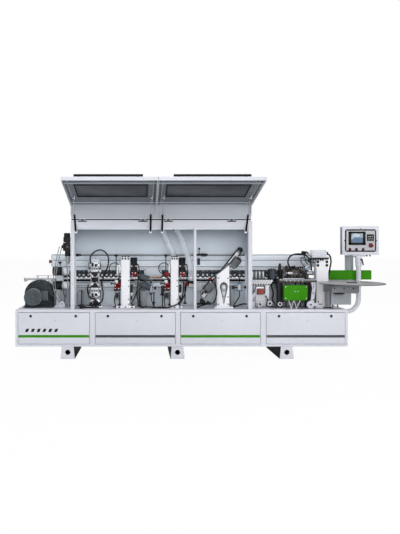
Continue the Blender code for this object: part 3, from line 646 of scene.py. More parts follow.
# ================================================================ hoods
def hood_details():
    hinge = (-0.350, 1.675)
    slope = radians(13.9)
    along = Vector((0, -cos(slope), sin(slope)))
    out = Vector((0, sin(slope), cos(slope)))
    bend = Vector((0, hinge[0], hinge[1] + 0.195))
    reach = 0.958
    for side, spans, hinge_places in (("left", (-1.338, -0.304, -1.22, -0.42, -1.206, -0.47), (-1.200, -0.465)),
                                      ("right", (-0.300, 0.845, -0.20, 0.715, -0.135, 0.69), (-0.157, 0.607))):
        left, right, pane_left, pane_right, grip_left, grip_right = spans
        body = f"hood_{side}"

        def skin(x, distance, height):
            return bend + X * x + along * distance + out * height
        inner, outer = 0.315, 0.725
        # painted shade: dark sheets just inside the hood skin, around the window, darken the underside that the hood
        # shades
        shade_sheet = Shape()
        for x0, x1, d0, d1 in ((left + 0.010, right - 0.010, 0.006, inner - 0.004),
                               (left + 0.010, right - 0.010, outer + 0.004, reach - 0.014),
                               (left + 0.010, pane_left - 0.004, inner - 0.004, outer + 0.004),
                               (pane_right + 0.004, right - 0.010, inner - 0.004, outer + 0.004)):
            low, high = Vector((x0, -(d1 - d0) / 2, -0.001)), Vector((x1, (d1 - d0) / 2, 0.001))
            centre = skin(0, (d0 + d1) / 2, -0.0078)
            shade_sheet.block(low + centre, high + centre, 0.0005, (-13.9, "X"))
        shade_sheet.make(f"hood_painted_shade_{side}", body, "liner_and_shade_paint")
        # painted shade: a mid-grey sheet on the hood's inner rise
        rise = Shape()
        rise.block((left + 0.008, hinge[0] - 0.0078, 1.694), (right - 0.008, hinge[0] - 0.0062, 1.862), 0.0005)
        rise.make(f"hood_rise_painted_shade_{side}", body, "rise_shade_paint")
        holes, folds = Shape(), Shape()
        for place in (left + 0.030, right - 0.030):
            for step in range(13):
                spot = skin(place, 0.050 + step * 0.070, -0.0085)
                holes.rod(spot, spot - out * 0.003, 0.009, 0.001, 12)
            folds.sweep([skin(place + (0.018 if place < 0.27 * (left + right) / 0.54 else -0.018), 0.03, -0.012),
                         skin(place + (0.018 if place < 0.27 * (left + right) / 0.54 else -0.018), 0.93, -0.012)], 0.004, 6)
        holes.make(f"hood_fold_holes_{side}", body, "chain_pads")
        folds.make(f"hood_fold_lines_{side}", body, "light_grey")
        gasket = Shape()
        for start, stop, place, size in ((pane_left, pane_right, inner, 0), (pane_left, pane_right, outer, 0)):
            gasket.sweep([skin(start, place, -0.0125), skin(stop, place, -0.0125)], 0.006, 8)
            gasket.sweep([skin(start, place, 0.0005), skin(stop, place, 0.0005)], 0.004, 8)
        for place in (pane_left, pane_right):
            gasket.sweep([skin(place, inner, -0.0125), skin(place, outer, -0.0125)], 0.006, 8)
            gasket.sweep([skin(place, inner, 0.0005), skin(place, outer, 0.0005)], 0.004, 8)
        gasket.make(f"window_gasket_{side}", body, "chain_pads")
        grip = Shape()
        hand = 0.93 * reach
        grip.rod(skin(grip_left - 0.004, hand, 0.040), skin(grip_right + 0.004, hand, 0.040), 0.0135, 0.004, 20)
        for place in (grip_left + 0.05, grip_right - 0.05):
            grip.rod(skin(place, hand, -0.001), skin(place, hand, 0.034), 0.010, 0.002, 16)
        grip.make(f"hood_handle_{side}", body, "black_plastic")
        ribs = Shape()
        for place in ((0.10, 0.012), (0.80, 0.012)):
            start = skin(left + 0.010, place[0], -0.014)
            ribs.sweep([start, start + X * (right - left - 0.020)], 0.009, 6)
        ribs.make(f"hood_stiffeners_{side}", body, "light_grey")
        leaves = Shape()
        pins = Shape()
        for middle in hinge_places:
            leaves.block((middle - 0.035, hinge[0] + 0.0003, hinge[1] + 0.0130),
                         (middle + 0.035, hinge[0] + 0.0040, hinge[1] + 0.040), 0.001)
            for offset in (-0.025, 0.025):
                leaves.rod((middle + offset - 0.010, *hinge), (middle + offset + 0.010, *hinge), 0.0085, 0.001, 16)
                leaves.block((middle + offset - 0.010, hinge[0] + 0.0003, hinge[1] + 0.002),
                             (middle + offset + 0.010, hinge[0] + 0.0040, hinge[1] + 0.015), 0.001)
                pins.bolt((middle + offset, hinge[0] + 0.0040, hinge[1] + 0.027), Y, 0.0045, 0.002)
        leaves.make(f"hood_hinge_leaves_{side}", body, "light_grey")
        pins.make(f"hood_hinge_screws_{side}", body, "steel")
    fixed = Shape()
    for middle in (-1.200, -0.465, -0.157, 0.607):
        fixed.rod((middle - 0.0145, *hinge), (middle + 0.0145, *hinge), 0.0085, 0.001, 16)
        fixed.block((middle - 0.055, -0.3635, 1.650), (middle + 0.055, -0.3600, 1.6635), 0.001)
        fixed.block((middle - 0.014, hinge[0] - 0.004, 1.655), (middle + 0.014, hinge[0] + 0.004, 1.672), 0.001)
    fixed.make("hinge_knuckles", BASE, "stripe_grey")
    joint = Shape()
    joint.block((-0.3035, hinge[0] - 0.003, 1.690), (-0.3005, hinge[0] + 0.006, 1.868), 0.0005)
    for distance in (0.24, 0.72):
        middle = bend - X * 0.302 + along * distance + out * -0.006
        joint.block(middle - Vector((0.0015, 0.235, 0.010)), middle + Vector((0.0015, 0.235, 0.010)), 0.0005,
                    (-13.9, "X"))
    joint.make("hood_joint_seal", "hood_right", "chain_pads")
    seal, strip = Shape(), Shape()
    seal.block((-1.334, -0.3395, 1.675), (0.843, -0.3350, 1.6885), 0.0015)
    seal.make("hood_seal", BASE, "chain_pads")
    strip.block((-1.334, -0.3395, 1.6605), (0.843, -0.3350, 1.675), 0.0015)
    strip.make("hood_seal_carrier", BASE, "white_paint")


def frame_details():
    low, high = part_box("hood_frame")
    screws = Shape()
    for place in (low.x + 0.024, high.x - 0.024):
        for height in (0.640, 0.900, 1.200, 1.500):
            screws.bolt((place, -0.3705, height), -Y, 0.005, 0.003)
    for place in (-0.9, -0.45, 0.0, 0.5):
        screws.bolt((place, -0.3605, 1.640), -Y, 0.0045, 0.003)
    for place in (-0.9, -0.2, 0.5):
        screws.bolt((place, -0.0385, 1.630), Y, 0.006, 0.004)
        screws.bolt((place, -0.0385, 1.300), Y, 0.006, 0.004)
    screws.make("hood_frame_screws", BASE, "steel")
    folds = Shape()
    folds.block((low.x + 0.012, -0.072, 1.262), (high.x - 0.012, -0.0465, 1.272), 0.002)
    folds.block((low.x + 0.012, -0.340, 1.560), (high.x - 0.012, -0.325, 1.651), 0.002)
    for place in (low.x + 0.011, high.x - 0.036):
        folds.block((place, -0.072, 0.596), (place + 0.025, -0.0475, 1.262), 0.002)
    folds.make("hood_frame_folds", BASE, "interior_paint")
    flange, seal = Shape(), Shape()
    flange.block((low.x + 0.012, -0.0455, 1.238), (high.x - 0.012, -0.041, 1.264), 0.001)
    flange.make("rear_panel_flange", BASE, "light_grey")
    seal.block((low.x + 0.012, -0.047, 1.231), (high.x - 0.012, -0.040, 1.239), 0.002)
    seal.make("rear_panel_seal", BASE, "chain_pads")


# ================================================================ feed track and pressure beam
def feed_details():
    low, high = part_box("feed_chain")
    pitch = 0.0487
    pads, links = Shape(), Shape()
    for index in range(int((high.x - low.x) / pitch)):
        left = low.x + index * pitch + 0.002
        pads.block((left, low.y, high.z - 0.011), (left + pitch - 0.005, high.y, high.z), 0.002)
        links.rod((left + pitch / 2, low.y + 0.004, high.z - 0.017), (left + pitch / 2, high.y - 0.004, high.z - 0.017),
                  0.0045, 0.0008, 10)
    links.block((low.x, low.y + 0.012, low.z), (high.x, high.y - 0.012, high.z - 0.0105), 0.002)
    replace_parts(pads.make("chain_pads", BASE, "chain_pads"), "feed_chain")
    links.make("chain_links", BASE, "black_steel")
    low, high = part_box("track_beam")
    rails, slots, bolts = Shape(), Shape(), Shape()
    front = low.y
    for height, tall in ((0.8865, 0.006), (0.822, 0.005), (0.806, 0.003)):
        slots.block((low.x + 0.03, front + 0.0085, height), (high.x - 0.03, front + 0.011, height + tall), 0.0008)
    rails.block((low.x + 0.01, front - 0.004, 0.846), (high.x - 0.01, front + 0.004, 0.860), 0.0015)
    rails.block((low.x + 0.01, front + 0.004, 0.870), (high.x - 0.01, front + 0.0125, 0.878), 0.0015)
    place = low.x + 0.10
    while place < high.x - 0.05:
        bolts.bolt((place, front - 0.004, 0.853), -Y, 0.005, 0.004)
        bolts.bolt((place + 0.05, high.y, 0.850), Y, 0.007, 0.005)
        place += 0.20
    rails.make("track_guide_rails", BASE, "aluminium")
    slots.make("track_slots", BASE, "chain_pads")
    bolts.make("track_bolts", BASE, "steel")


WHEEL_PITCH, WHEEL_COUNT, WHEEL_R = 0.118, 27, 0.036


def pressure_beam_details():
    body = "pressure_beam"
    low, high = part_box(body)
    front, back = 0.080, high.y
    profile, lines, tyres, hubs, arms = Shape(), Shape(), Shape(), Shape(), Shape()
    profile.block((low.x, front, 1.088), (high.x, back, high.z), 0.004)
    profile.block((low.x + 0.02, low.y, 1.193), (high.x - 0.02, front + 0.010, 1.225), 0.003)
    profile.block((-1.560, 0.098, 1.046), (1.700, 0.182, 1.0895), 0.003)
    for face, way in ((front, -1), (back, 1)):
        near, far = sorted((face - way * 0.004, face + way * 0.0035))
        profile.block((low.x + 0.004, near, 1.094), (high.x - 0.004, far, 1.104), 0.002)
        near, far = sorted((face - way * 0.002, face + way * 0.0012))
        for height, tall in ((1.1700, 0.006), (1.2380, 0.007), (1.0880, 0.005)):
            lines.block((low.x + 0.012, near, height), (high.x - 0.012, far, height + tall), 0.0006)
    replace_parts(profile.make("pressure_beam_profile", body, "interior_paint"), body)
    lines.make("pressure_beam_slots", body, "chain_pads")
    height = low.z + WHEEL_R
    first = 0.07 - WHEEL_PITCH * (WHEEL_COUNT - 1) / 2
    for index in range(2 * WHEEL_COUNT - 1):
        place = first + index * WHEEL_PITCH / 2
        near = 0.103 if index % 2 == 0 else 0.142
        tyres.turned((place, near, height), Y, [(0.002, 0), (0.002, 0.022), (0.0005, 0.024), (0.0005, 0.033),
                     (0.004, WHEEL_R), (0.029, WHEEL_R), (0.0325, 0.033), (0.0325, 0.024), (0.031, 0.022),
                     (0.031, 0)], 26)
        hubs.turned((place, near - 0.002, height), Y, [(0, 0), (0, 0.006), (0.002, 0.008), (0.002, 0.0125),
                    (0.005, 0.0145), (0.031, 0.0145), (0.034, 0.0105), (0.034, 0)], 18)
        arms.block((place - 0.011, near + 0.034, height - 0.010), (place + 0.011, near + 0.038, 1.062), 0.002)
        arms.block((place - 0.014, near - 0.001, 1.026), (place + 0.014, near + 0.036, 1.062), 0.003)
    tyres.make("pressure_wheel_tyres", body, "roller_rubber")
    hubs.make("pressure_wheel_hubs", body, "aluminium")
    arms.make("pressure_wheel_arms", body, "grey_paint")
    guards, screen, guard_bolts = Shape(), Shape(), Shape()
    guards.block((-1.550, 0.1835, 0.956), (1.690, 0.1875, 1.090), 0.001)
    guards.make("wheel_rear_guard", body, "liner_and_shade_paint")
    screen.block((-0.450, 0.086, 0.950), (-0.225, 0.091, 1.080), 0.002)
    screen.block((-0.450, 0.078, 1.066), (-0.225, 0.091, 1.074), 0.002)
    screen.make("wheel_front_guard", body, "interior_paint")
    for place in (-0.435, -0.240):
        for level in (0.965, 1.050):
            guard_bolts.bolt((place, 0.086, level), -Y, 0.005, 0.004)
    guard_bolts.make("wheel_guard_screws", body, "black_plastic")
    ends, bolts, stop = Shape(), Shape(), Shape()
    for face, way in ((low.x, -1), (high.x, 1)):
        near, far = sorted((face, face + way * 0.006))
        ends.block((near, front + 0.002, 1.092), (far, back - 0.002, high.z - 0.004), 0.002)
        for depth in (0.100, 0.180):
            for level in (1.115, 1.225):
                bolts.bolt((face + way * 0.006, depth, level), X * way, 0.006, 0.005)
    for index in range(9):
        bolts.bolt((-1.45 + index * 0.38, low.y, 1.209), -Y, 0.0055, 0.004)
        bolts.bolt((-1.45 + index * 0.38, back, 1.170), Y, 0.0075, 0.006)
    ends.make("pressure_beam_ends", body, "red_anodised")
    bolts.make("pressure_beam_bolts", body, "steel")
    stop.turned((low.x - 0.006, 0.120, 1.155), -X,
                [(0, 0), (0, 0.016), (0.012, 0.016), (0.012, 0.012), (0.018, 0.012), (0.020, 0.024),
                 (0.030, 0.026), (0.036, 0.020), (0.038, 0)], 24)
    stop.make("beam_stop_button", body, "red_plastic")


def support_details():
    low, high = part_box("panel_support")
    wheels, caps, bolts = Shape(), Shape(), Shape()
    place = low.x + 0.04
    while place < high.x - 0.02:
        wheels.turned((place, low.y + 0.185 + 0.008, high.z - 0.003), Y,
                      [(0, 0), (0, 0.012), (0.002, 0.014), (0.022, 0.014), (0.024, 0.012), (0.024, 0)], 16)
        place += 0.0305
    wheels.make("support_rollers", BASE, "white_plastic")
    red = Shape()
    red.rod((-1.930, 0.597, 0.945), (-1.600, 0.597, 0.945), 0.0028, 0.0008, 10)
    for place in (-1.900, -1.760, -1.630):
        red.block((place - 0.006, 0.593, 0.912), (place + 0.006, 0.601, 0.944), 0.001)
    red.make("support_edge_marker", BASE, "red_plastic")
    for face, way in ((low.x, -1), (high.x, 1)):
        caps.block((min(face, face + way * 0.006), 0.588, 0.882), (max(face, face + way * 0.006), high.y + 0.002,
                   0.916), 0.003)
    caps.make("support_end_caps", BASE, "red_plastic")
    for post in (-1.70, 0.0, 1.70):
        for offset in (-0.012, 0.012):
            bolts.bolt((post + offset, high.y - 0.010, 0.860), Y, 0.005, 0.004)
    bolts.make("support_bolts", BASE, "steel")


# ================================================================ processing units
def motor(name, body, start, end, radius, colour="black_plastic", fins=0.009, cap=0.14):
    """A finned motor from its drive end to its fan end, with end rings."""
    start, end = Vector(start), Vector(end)
    run = end - start
    casing = Shape()
    casing.rod(start, start + run * cap, radius * 1.02, 0.003, 32)
    casing.finned(start + run * cap, end - run * cap, radius, fins, radius * 0.09, 32)
    casing.rod(end - run * cap, end, radius * 1.01, 0.006, 32)
    casing.turned(end, run, [(0, 0), (0, radius * 0.8), (radius * 0.06, radius * 0.72), (radius * 0.06, radius * 0.2),
                             (radius * 0.02, radius * 0.15), (radius * 0.02, 0)], 28)
    return casing.make(name, body, colour)


def star_knob(shape, place, axis, radius=0.016, height=0.014, lobes=6):
    """A lobed hand knob on a short stem."""
    axis = Vector(axis).normalized()
    side = axis.orthogonal().normalized()
    third = axis.cross(side)
    centre = Vector(place)
    shape.rod(centre - axis * height * 0.8, centre + axis * height * 0.2, radius * 0.45, 0.001, 16)
    shape.rod(centre, centre + axis * height, radius * 0.8, 0.003, 24)
    for index in range(lobes):
        turn = 2 * pi * index / lobes
        spot = centre + (side * cos(turn) + third * sin(turn)) * radius * 0.8
        shape.rod(spot, spot + axis * height * 0.9, radius * 0.3, 0.002, 12)


def adjuster(shape, place, drop):
    """A vertical adjusting spindle with a knob on top."""
    x, y, z = place
    shape.rod((x, y, z - drop), (x, y, z), 0.0055, 0.001, 12)
    star_knob(shape, place, Z, 0.023, 0.019)


def gearmotor_details():
    low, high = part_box("feed_gearmotor")
    ribs, rings, bolts, eye = Shape(), Shape(), Shape(), Shape()
    middle, spring, radius = -1.762, 0.757, 0.168
    face = -0.140
    cowl = Vector((-1.822, low.y, 0.726))
    for share in (1.0, 0.86):
        outline = arc((middle, spring), radius * share + 0.004, -4, 184, 20)
        ribs.sweep([(x, face - 0.001, z) for x, z in outline], 0.006, 8)
    for index in range(5):
        depth = -0.110 + index * 0.034
        outline = arc((middle, spring), radius + 0.002, -8, 188, 22)
        ribs.sweep([(x, depth, z) for x, z in outline], 0.005, 6)
    ribs.make("gearmotor_ribs", BASE, "gear_casting")
    cap = Shape()
    cap.turned(cowl + Y * 0.004, -Y, [(0, 0), (0, 0.1055), (0.004, 0.1055), (0.012, 0.098), (0.014, 0.080),
                                    (0.010, 0.074), (0.010, 0.066), (0.014, 0.060), (0.014, 0.046), (0.011, 0.041),
                                    (0.011, 0.034), (0.015, 0.028), (0.016, 0.012), (0.016, 0)], 40)
    cap.make("gearmotor_fan_cowl", BASE, "motor_paint")
    for radius_out in (0.104, 0.1045):
        rings.ring(cowl + Y * 0.020, Y, radius_out, 0.0025, 36, 6)
        rings.ring(cowl + Y * 0.075, Y, radius_out, 0.0025, 36, 6)
    box_low, box_high = Vector((-1.722, -0.200, 0.690)), Vector((-1.640, -0.130, 0.800))
    lid = Shape()
    lid.block((box_low.x - 0.004, box_low.y - 0.010, box_low.z - 0.004), (box_high.x + 0.004, box_low.y + 0.002,
              box_high.z + 0.004), 0.004)
    lid.make("gearmotor_terminal_lid", BASE, "motor_paint")
    for dx in (0.008, 0.074):
        for dz in (0.008, 0.102):
            bolts.bolt((box_low.x + dx, box_low.y - 0.010, box_low.z + dz), -Y, 0.004, 0.003)
    for turn in range(0, 181, 30):
        spot = (middle + radius * 0.93 * cos(radians(turn)), face, spring + radius * 0.93 * sin(radians(turn)))
        bolts.bolt(spot, -Y, 0.006, 0.006)
    for dx in (-0.165, 0.165):
        bolts.bolt((middle + dx, low.y + 0.030, 0.610), Z, 0.009, 0.008)
    bolts.make("gearmotor_bolts", BASE, "motor_paint")
    rings.make("gearmotor_cowl_rings", BASE, "light_grey")
    eye.ring((middle, -0.060, high.z + 0.010), Y, 0.013, 0.004, 20, 8)
    eye.rod((middle, -0.060, high.z - 0.010), (middle, -0.060, high.z), 0.006, 0.001, 12)
    eye.make("gearmotor_eye_bolt", BASE, "steel")
    cable = Shape()
    cable.cable([(-1.645, -0.165, 0.745), (-1.610, -0.170, 0.740), (-1.590, -0.150, 0.690), (-1.585, -0.10, 0.610)],
                0.008, 10)
    cable.make("gearmotor_cable", BASE, "cable_black")
    plate = Shape()
    plate.block((-1.990, 0.060, 0.921), (-1.640, 0.160, 0.926), 0.001)
    plate.block((-1.985, 0.058, 0.900), (-1.960, 0.162, 0.923), 0.002)
    plate.block((-1.675, 0.062, 0.860), (-1.6405, 0.158, 0.923), 0.002)
    plate.make("outfeed_plate", BASE, "aluminium")
    side = Shape()
    side.plate([(-1.585, 0.665), (-1.500, 0.665), (-1.413, 0.740), (-1.413, 0.797), (-1.585, 0.797)], "Y",
               -0.020, -0.004, 0.003)
    side.plate([(-1.592, 0.594), (-1.500, 0.594), (-1.500, 0.672), (-1.592, 0.672)], "Y", 0.000, 0.014, 0.003)
    side.make("gearmotor_side_bracket", BASE, "light_grey")


def buffing_details():
    for name in ("top", "bottom"):
        node = f"buffing_wheel_{name}"
        low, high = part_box(node)
        centre = (low + high) / 2
        height = centre.z
        start, end = -1.454, -1.384
        profile = [(0, 0), (0, 0.012), (0.001, 0.040)]
        count = 14
        for index in range(count):
            at = 0.001 + (end - start - 0.002) * index / count
            step = (end - start - 0.002) / count
            profile += [(at + step * 0.2, 0.0432), (at + step * 0.5, 0.0440), (at + step * 0.8, 0.0432),
                        (at + step * 0.98, 0.0420)]
        profile += [(end - start - 0.001, 0.040), (end - start, 0.012), (end - start, 0)]
        wheel = Shape()
        wheel.turned((start, centre.y, height), X, profile, 44)
        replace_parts(wheel.make(f"buffing_cloth_{name}", node, "buff_cloth"), node)
        flange = Shape()
        flange.turned((end - 0.001, centre.y, height), X, [(0, 0), (0, 0.018), (0.004, 0.017), (0.004, 0.009),
                                                          (0.010, 0.008), (0.010, 0)], 6)
        flange.rod((-1.4655, centre.y, height), (start, centre.y, height), 0.009, 0.001, 14)
        flange.make(f"buffing_flange_{name}", node, "steel")
        motor(f"buffing_motor_{name}", BASE, (-1.470, centre.y, height), (-1.590, centre.y, height), 0.056)
        box = Shape()
        box.block((-1.560, centre.y - 0.075, height - 0.025), (-1.500, centre.y - 0.050, height + 0.025), 0.004)
        box.make(f"buffing_motor_box_{name}", BASE, "black_plastic")
    low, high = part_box("buffing_stand")
    guard, knob, hose = Shape(), Shape(), Shape()
    guard.plate([(-1.500, 0.800), (-1.462, 0.800), (-1.440, 0.700), (-1.450, 0.660), (-1.500, 0.660)], "Y",
                -0.150, -0.070, 0.004)
    guard.make("buffing_chute", BASE, "grey_paint")
    foot = Shape()
    foot.turned((-1.470, low.y - 0.012, 0.640), Y, [(0, 0), (0, 0.026), (0.003, 0.030), (0.022, 0.030), (0.022, 0)], 28)
    foot.block((-1.505, low.y - 0.008, 0.594), (-1.435, low.y + 0.030, 0.630), 0.004)
    foot.make("buffing_foot", BASE, "white_paint")
    knob.bolt((-1.470, low.y - 0.012, 0.640), -Y, 0.006, 0.006)
    adjuster(knob, (-1.515, -0.010, 1.140), 0.060)
    knob.block((-1.384, -0.100, 0.600), (-1.368, -0.060, 0.985), 0.004)
    knob.make("buffing_knob", BASE, "black_plastic")
    for offset, bow in ((0.0, 0.03), (0.030, 0.055)):
        hose.cable([(-1.452 - offset, -0.305, 1.352), (-1.478 - offset, -0.300, 1.250),
                    (-1.495 - bow, -0.260, 1.050), (-1.520 - bow, -0.200, 0.860), (-1.500 - offset, -0.150, 0.700),
                    (-1.480, -0.120, 0.612)], 0.0055, 8)
    hose.make("buffing_air_hoses", BASE, "air_hose")


def air_unit_details():
    low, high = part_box("air_service_unit")
    centre = Vector((-1.382, -0.305, 0))
    casing, bowl, knob, ring = Shape(), Shape(), Shape(), Shape()
    casing.block((low.x - 0.018, -0.345, 1.300), (high.x, -0.265, 1.400), 0.010)
    casing.block((low.x - 0.014, -0.340, 1.404), (high.x - 0.002, -0.270, 1.470), 0.012)
    casing.rod((centre.x - 0.008, centre.y, 1.468), (centre.x - 0.008, centre.y, high.z - 0.003), 0.038, 0.008, 28)
    casing.rod((centre.x, centre.y, 1.392), (centre.x, centre.y, 1.410), 0.028, 0.002, 24)
    casing.rod((centre.x, centre.y, 1.236), (centre.x, centre.y, 1.304), 0.034, 0.004, 28)
    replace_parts(casing.make("air_unit_casing", BASE, "black_plastic"), "air_service_unit")
    for level in range(6):
        ring.ring((centre.x - 0.008, centre.y, 1.480 + level * 0.006), Z, 0.0382, 0.0012, 28, 6)
    for level in (1.238, 1.296):
        ring.ring((centre.x, centre.y, level), Z, 0.0345, 0.002, 28, 6)
    ring.make("air_unit_grip_rings", BASE, "black_plastic")
    bowl.turned((centre.x, centre.y, 1.240), -Z, [(0, 0), (0, 0.030), (0.060, 0.030), (0.080, 0.027), (0.095, 0.018),
                                                (0.100, 0.006), (0.100, 0)], 28)
    bowl.make("air_unit_bowl", BASE, "filter_bowl")
    knob.turned((low.x - 0.018, centre.y, 1.352), -X, [(0, 0), (0, 0.018), (0.006, 0.020), (0.016, 0.020),
                                                     (0.020, 0.015), (0.020, 0)], 24)
    knob.turned((centre.x, -0.345, 1.350), -Y, [(0, 0), (0, 0.020), (0.010, 0.020), (0.012, 0.017), (0.012, 0)], 28)
    knob.make("air_unit_gauge", BASE, "black_plastic")
    dial = Shape()
    dial.turned((centre.x, -0.3565, 1.350), -Y, [(0, 0), (0, 0.0165), (0.0012, 0.016), (0.0012, 0)], 28)
    dial.make("air_unit_dial", BASE, "stripe_grey")
    tube = Shape()
    tube.cable([(centre.x, -0.285, 1.236), (-1.400, -0.250, 1.150), (-1.395, -0.200, 0.950), (-1.400, -0.170, 0.720),
                (-1.405, -0.140, 0.600)], 0.006, 8)
    tube.make("air_unit_hose", BASE, "air_hose")


def scraping_details():
    """Upper and lower scraper heads, their stand, cables and the line lock beside them."""
    stand_low, stand_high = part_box("scraping_stand")
    centre = (stand_low.x + stand_high.x) / 2
    front = -0.130
    for name, up in (("top", 1), ("bottom", -1)):
        node = f"scraper_head_{name}"
        low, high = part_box(node)
        base = low.z if up > 0 else high.z
        back = high.y
        body, dark, steel = Shape(), Shape(), Shape()

        def slab(shape, left, right, near, far, bottom, top, soft):
            z_low, z_high = sorted((base + up * bottom, base + up * top))
            shape.block((centre + left, near, z_low), (centre + right, far, z_high), soft)
        slab(body, -0.068, 0.068, front, back, 0.122, 0.200, 0.006)
        slab(body, -0.082, 0.082, front - 0.006, back, 0.074, 0.106, 0.005)
        for side in (-1, 1):
            points = [(centre + side * x, base + up * z) for x, z in ((0.082, 0.076), (0.062, 0.076),
                                                                      (0.012, 0.008), (0.028, 0.001))]
            body.plate(points, "Y", front + 0.002, back - 0.010, 0.003)
            for bottom, near in ((0.088, front - 0.006), (0.136, front), (0.186, front)):
                dark.bolt((centre + side * 0.054, near, base + up * bottom), -Y, 0.0065, 0.006)
            slab(dark, side * 0.060 - 0.010, side * 0.060 + 0.010, front - 0.014, front - 0.004, 0.060, 0.076, 0.003)
            slab(dark, side * 0.0715 - 0.0035, side * 0.0715 + 0.0035, front + 0.004, back - 0.006, 0.112, 0.196, 0.002)
        slab(dark, -0.074, 0.074, front - 0.003, back - 0.008, 0.104, 0.124, 0.002)
        for offset in (-0.045, -0.015, 0.015, 0.045):
            slab(body, offset - 0.009, offset + 0.009, front - 0.007, front, 0.108, 0.119, 0.002)
        dark.plate([(centre - 0.052, base + up * 0.075), (centre + 0.052, base + up * 0.075),
                    (centre, base + up * 0.012)], "Y", front - 0.004, back - 0.020, 0.002)
        slab(dark, -0.034, -0.010, front - 0.018, front + 0.002, 0.142, 0.190, 0.003)
        slab(dark, 0.004, 0.040, front - 0.012, front + 0.002, 0.158, 0.176, 0.003)
        dark.rod((centre + 0.020, front - 0.024, base + up * 0.140),
                 (centre + 0.020, front - 0.024, base + up * 0.172), 0.012, 0.002, 18)
        dark.rod((centre, -0.175, base + up * 0.043), (centre, front, base + up * 0.043), 0.020, 0.004, 24)
        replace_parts(body.make(f"scraper_body_{name}", node, "aluminium"), node)
        dark.make(f"scraper_knobs_{name}", node, "black_plastic")
        steel.rod((centre - 0.030, -0.150, base + up * 0.014), (centre + 0.030, -0.150, base + up * 0.014), 0.004,
                  0.001, 12)
        steel.turned((centre - 0.020, front - 0.012, base + up * 0.030), -Y,
                     [(0, 0), (0, 0.013), (0.008, 0.013), (0.008, 0)], 20)
        steel.make(f"scraper_bolts_{name}", node, "steel")
    trim, cables, lever, knobs = Shape(), Shape(), Shape(), Shape()
    for side in (-1, 1):
        edge = centre + side * 0.048
        trim.block((edge - 0.004, -0.058, 0.630), (edge + 0.004, 0.036, 1.185), 0.002)
    trim.block((centre - 0.062, -0.120, 0.630), (centre + 0.062, -0.062, 0.688), 0.006)
    trim.make("scraping_stand_trim", BASE, "steel")
    zone = Shape()
    zone.block((centre - 0.046, -0.066, 0.880), (centre + 0.046, -0.058, 1.000), 0.002)
    zone.make("scraping_stand_liner", BASE, "black_plastic")
    for spot, size in (((centre + 0.010, -0.125, 0.654), 0.032), ((centre - 0.045, -0.125, 0.640), 0.018)):
        star_knob(knobs, spot, -Y, size, 0.024)
    knobs.block((centre - 0.090, -0.150, 0.6125), (centre + 0.085, -0.130, 0.628), 0.004)
    knobs.make("scraping_stand_knobs", BASE, "black_plastic")
    cables.cable([(centre - 0.046, -0.151, 1.150), (centre - 0.048, -0.160, 1.225), (centre + 0.012, -0.160, 1.290),
                  (centre + 0.095, -0.150, 1.305), (centre + 0.165, -0.140, 1.240), (centre + 0.172, -0.130, 1.130),
                  (centre + 0.130, -0.120, 1.010), (centre + 0.090, -0.115, 0.900), (centre + 0.108, -0.140, 0.780),
                  (centre + 0.092, -0.150, 0.670), (centre + 0.010, -0.160, 0.612)], 0.0085, 10)
    cables.cable([(centre - 0.076, -0.140, 0.880), (centre - 0.084, -0.150, 0.800), (centre - 0.060, -0.160, 0.720),
                  (centre, -0.165, 0.700), (centre + 0.050, -0.160, 0.650), (centre - 0.030, -0.180, 0.612)], 0.007, 8)
    cables.cable([(centre - 0.160, -0.200, 0.604), (centre - 0.060, -0.210, 0.602), (centre + 0.060, -0.205, 0.603)],
                 0.010, 10)
    cables.make("scraping_cables", BASE, "cable_black")
    lock_x, lock_y = -1.215, -0.260
    lever.rod((lock_x, lock_y, 0.640), (lock_x, lock_y, 0.800), 0.008, 0.002, 14)
    lever.turned((lock_x, lock_y, 0.795), Z, [(0, 0), (0, 0.010), (0.008, 0.013), (0.018, 0.012), (0.022, 0.006),
                                              (0.022, 0)], 20)
    lever.block((lock_x - 0.030, lock_y - 0.025, 0.594), (lock_x + 0.030, lock_y + 0.025, 0.645), 0.008)
    lever.rod((lock_x - 0.045, lock_y, 0.632), (lock_x + 0.045, lock_y, 0.612), 0.010, 0.002, 14)
    lever.make("line_lock_lever", BASE, "black_plastic")
    dust = Shape()
    dust.block((-1.290, -0.040, 0.594), (-1.215, 0.030, 0.780), 0.010)
    dust.make("left_wall_bracket", BASE, "light_grey")


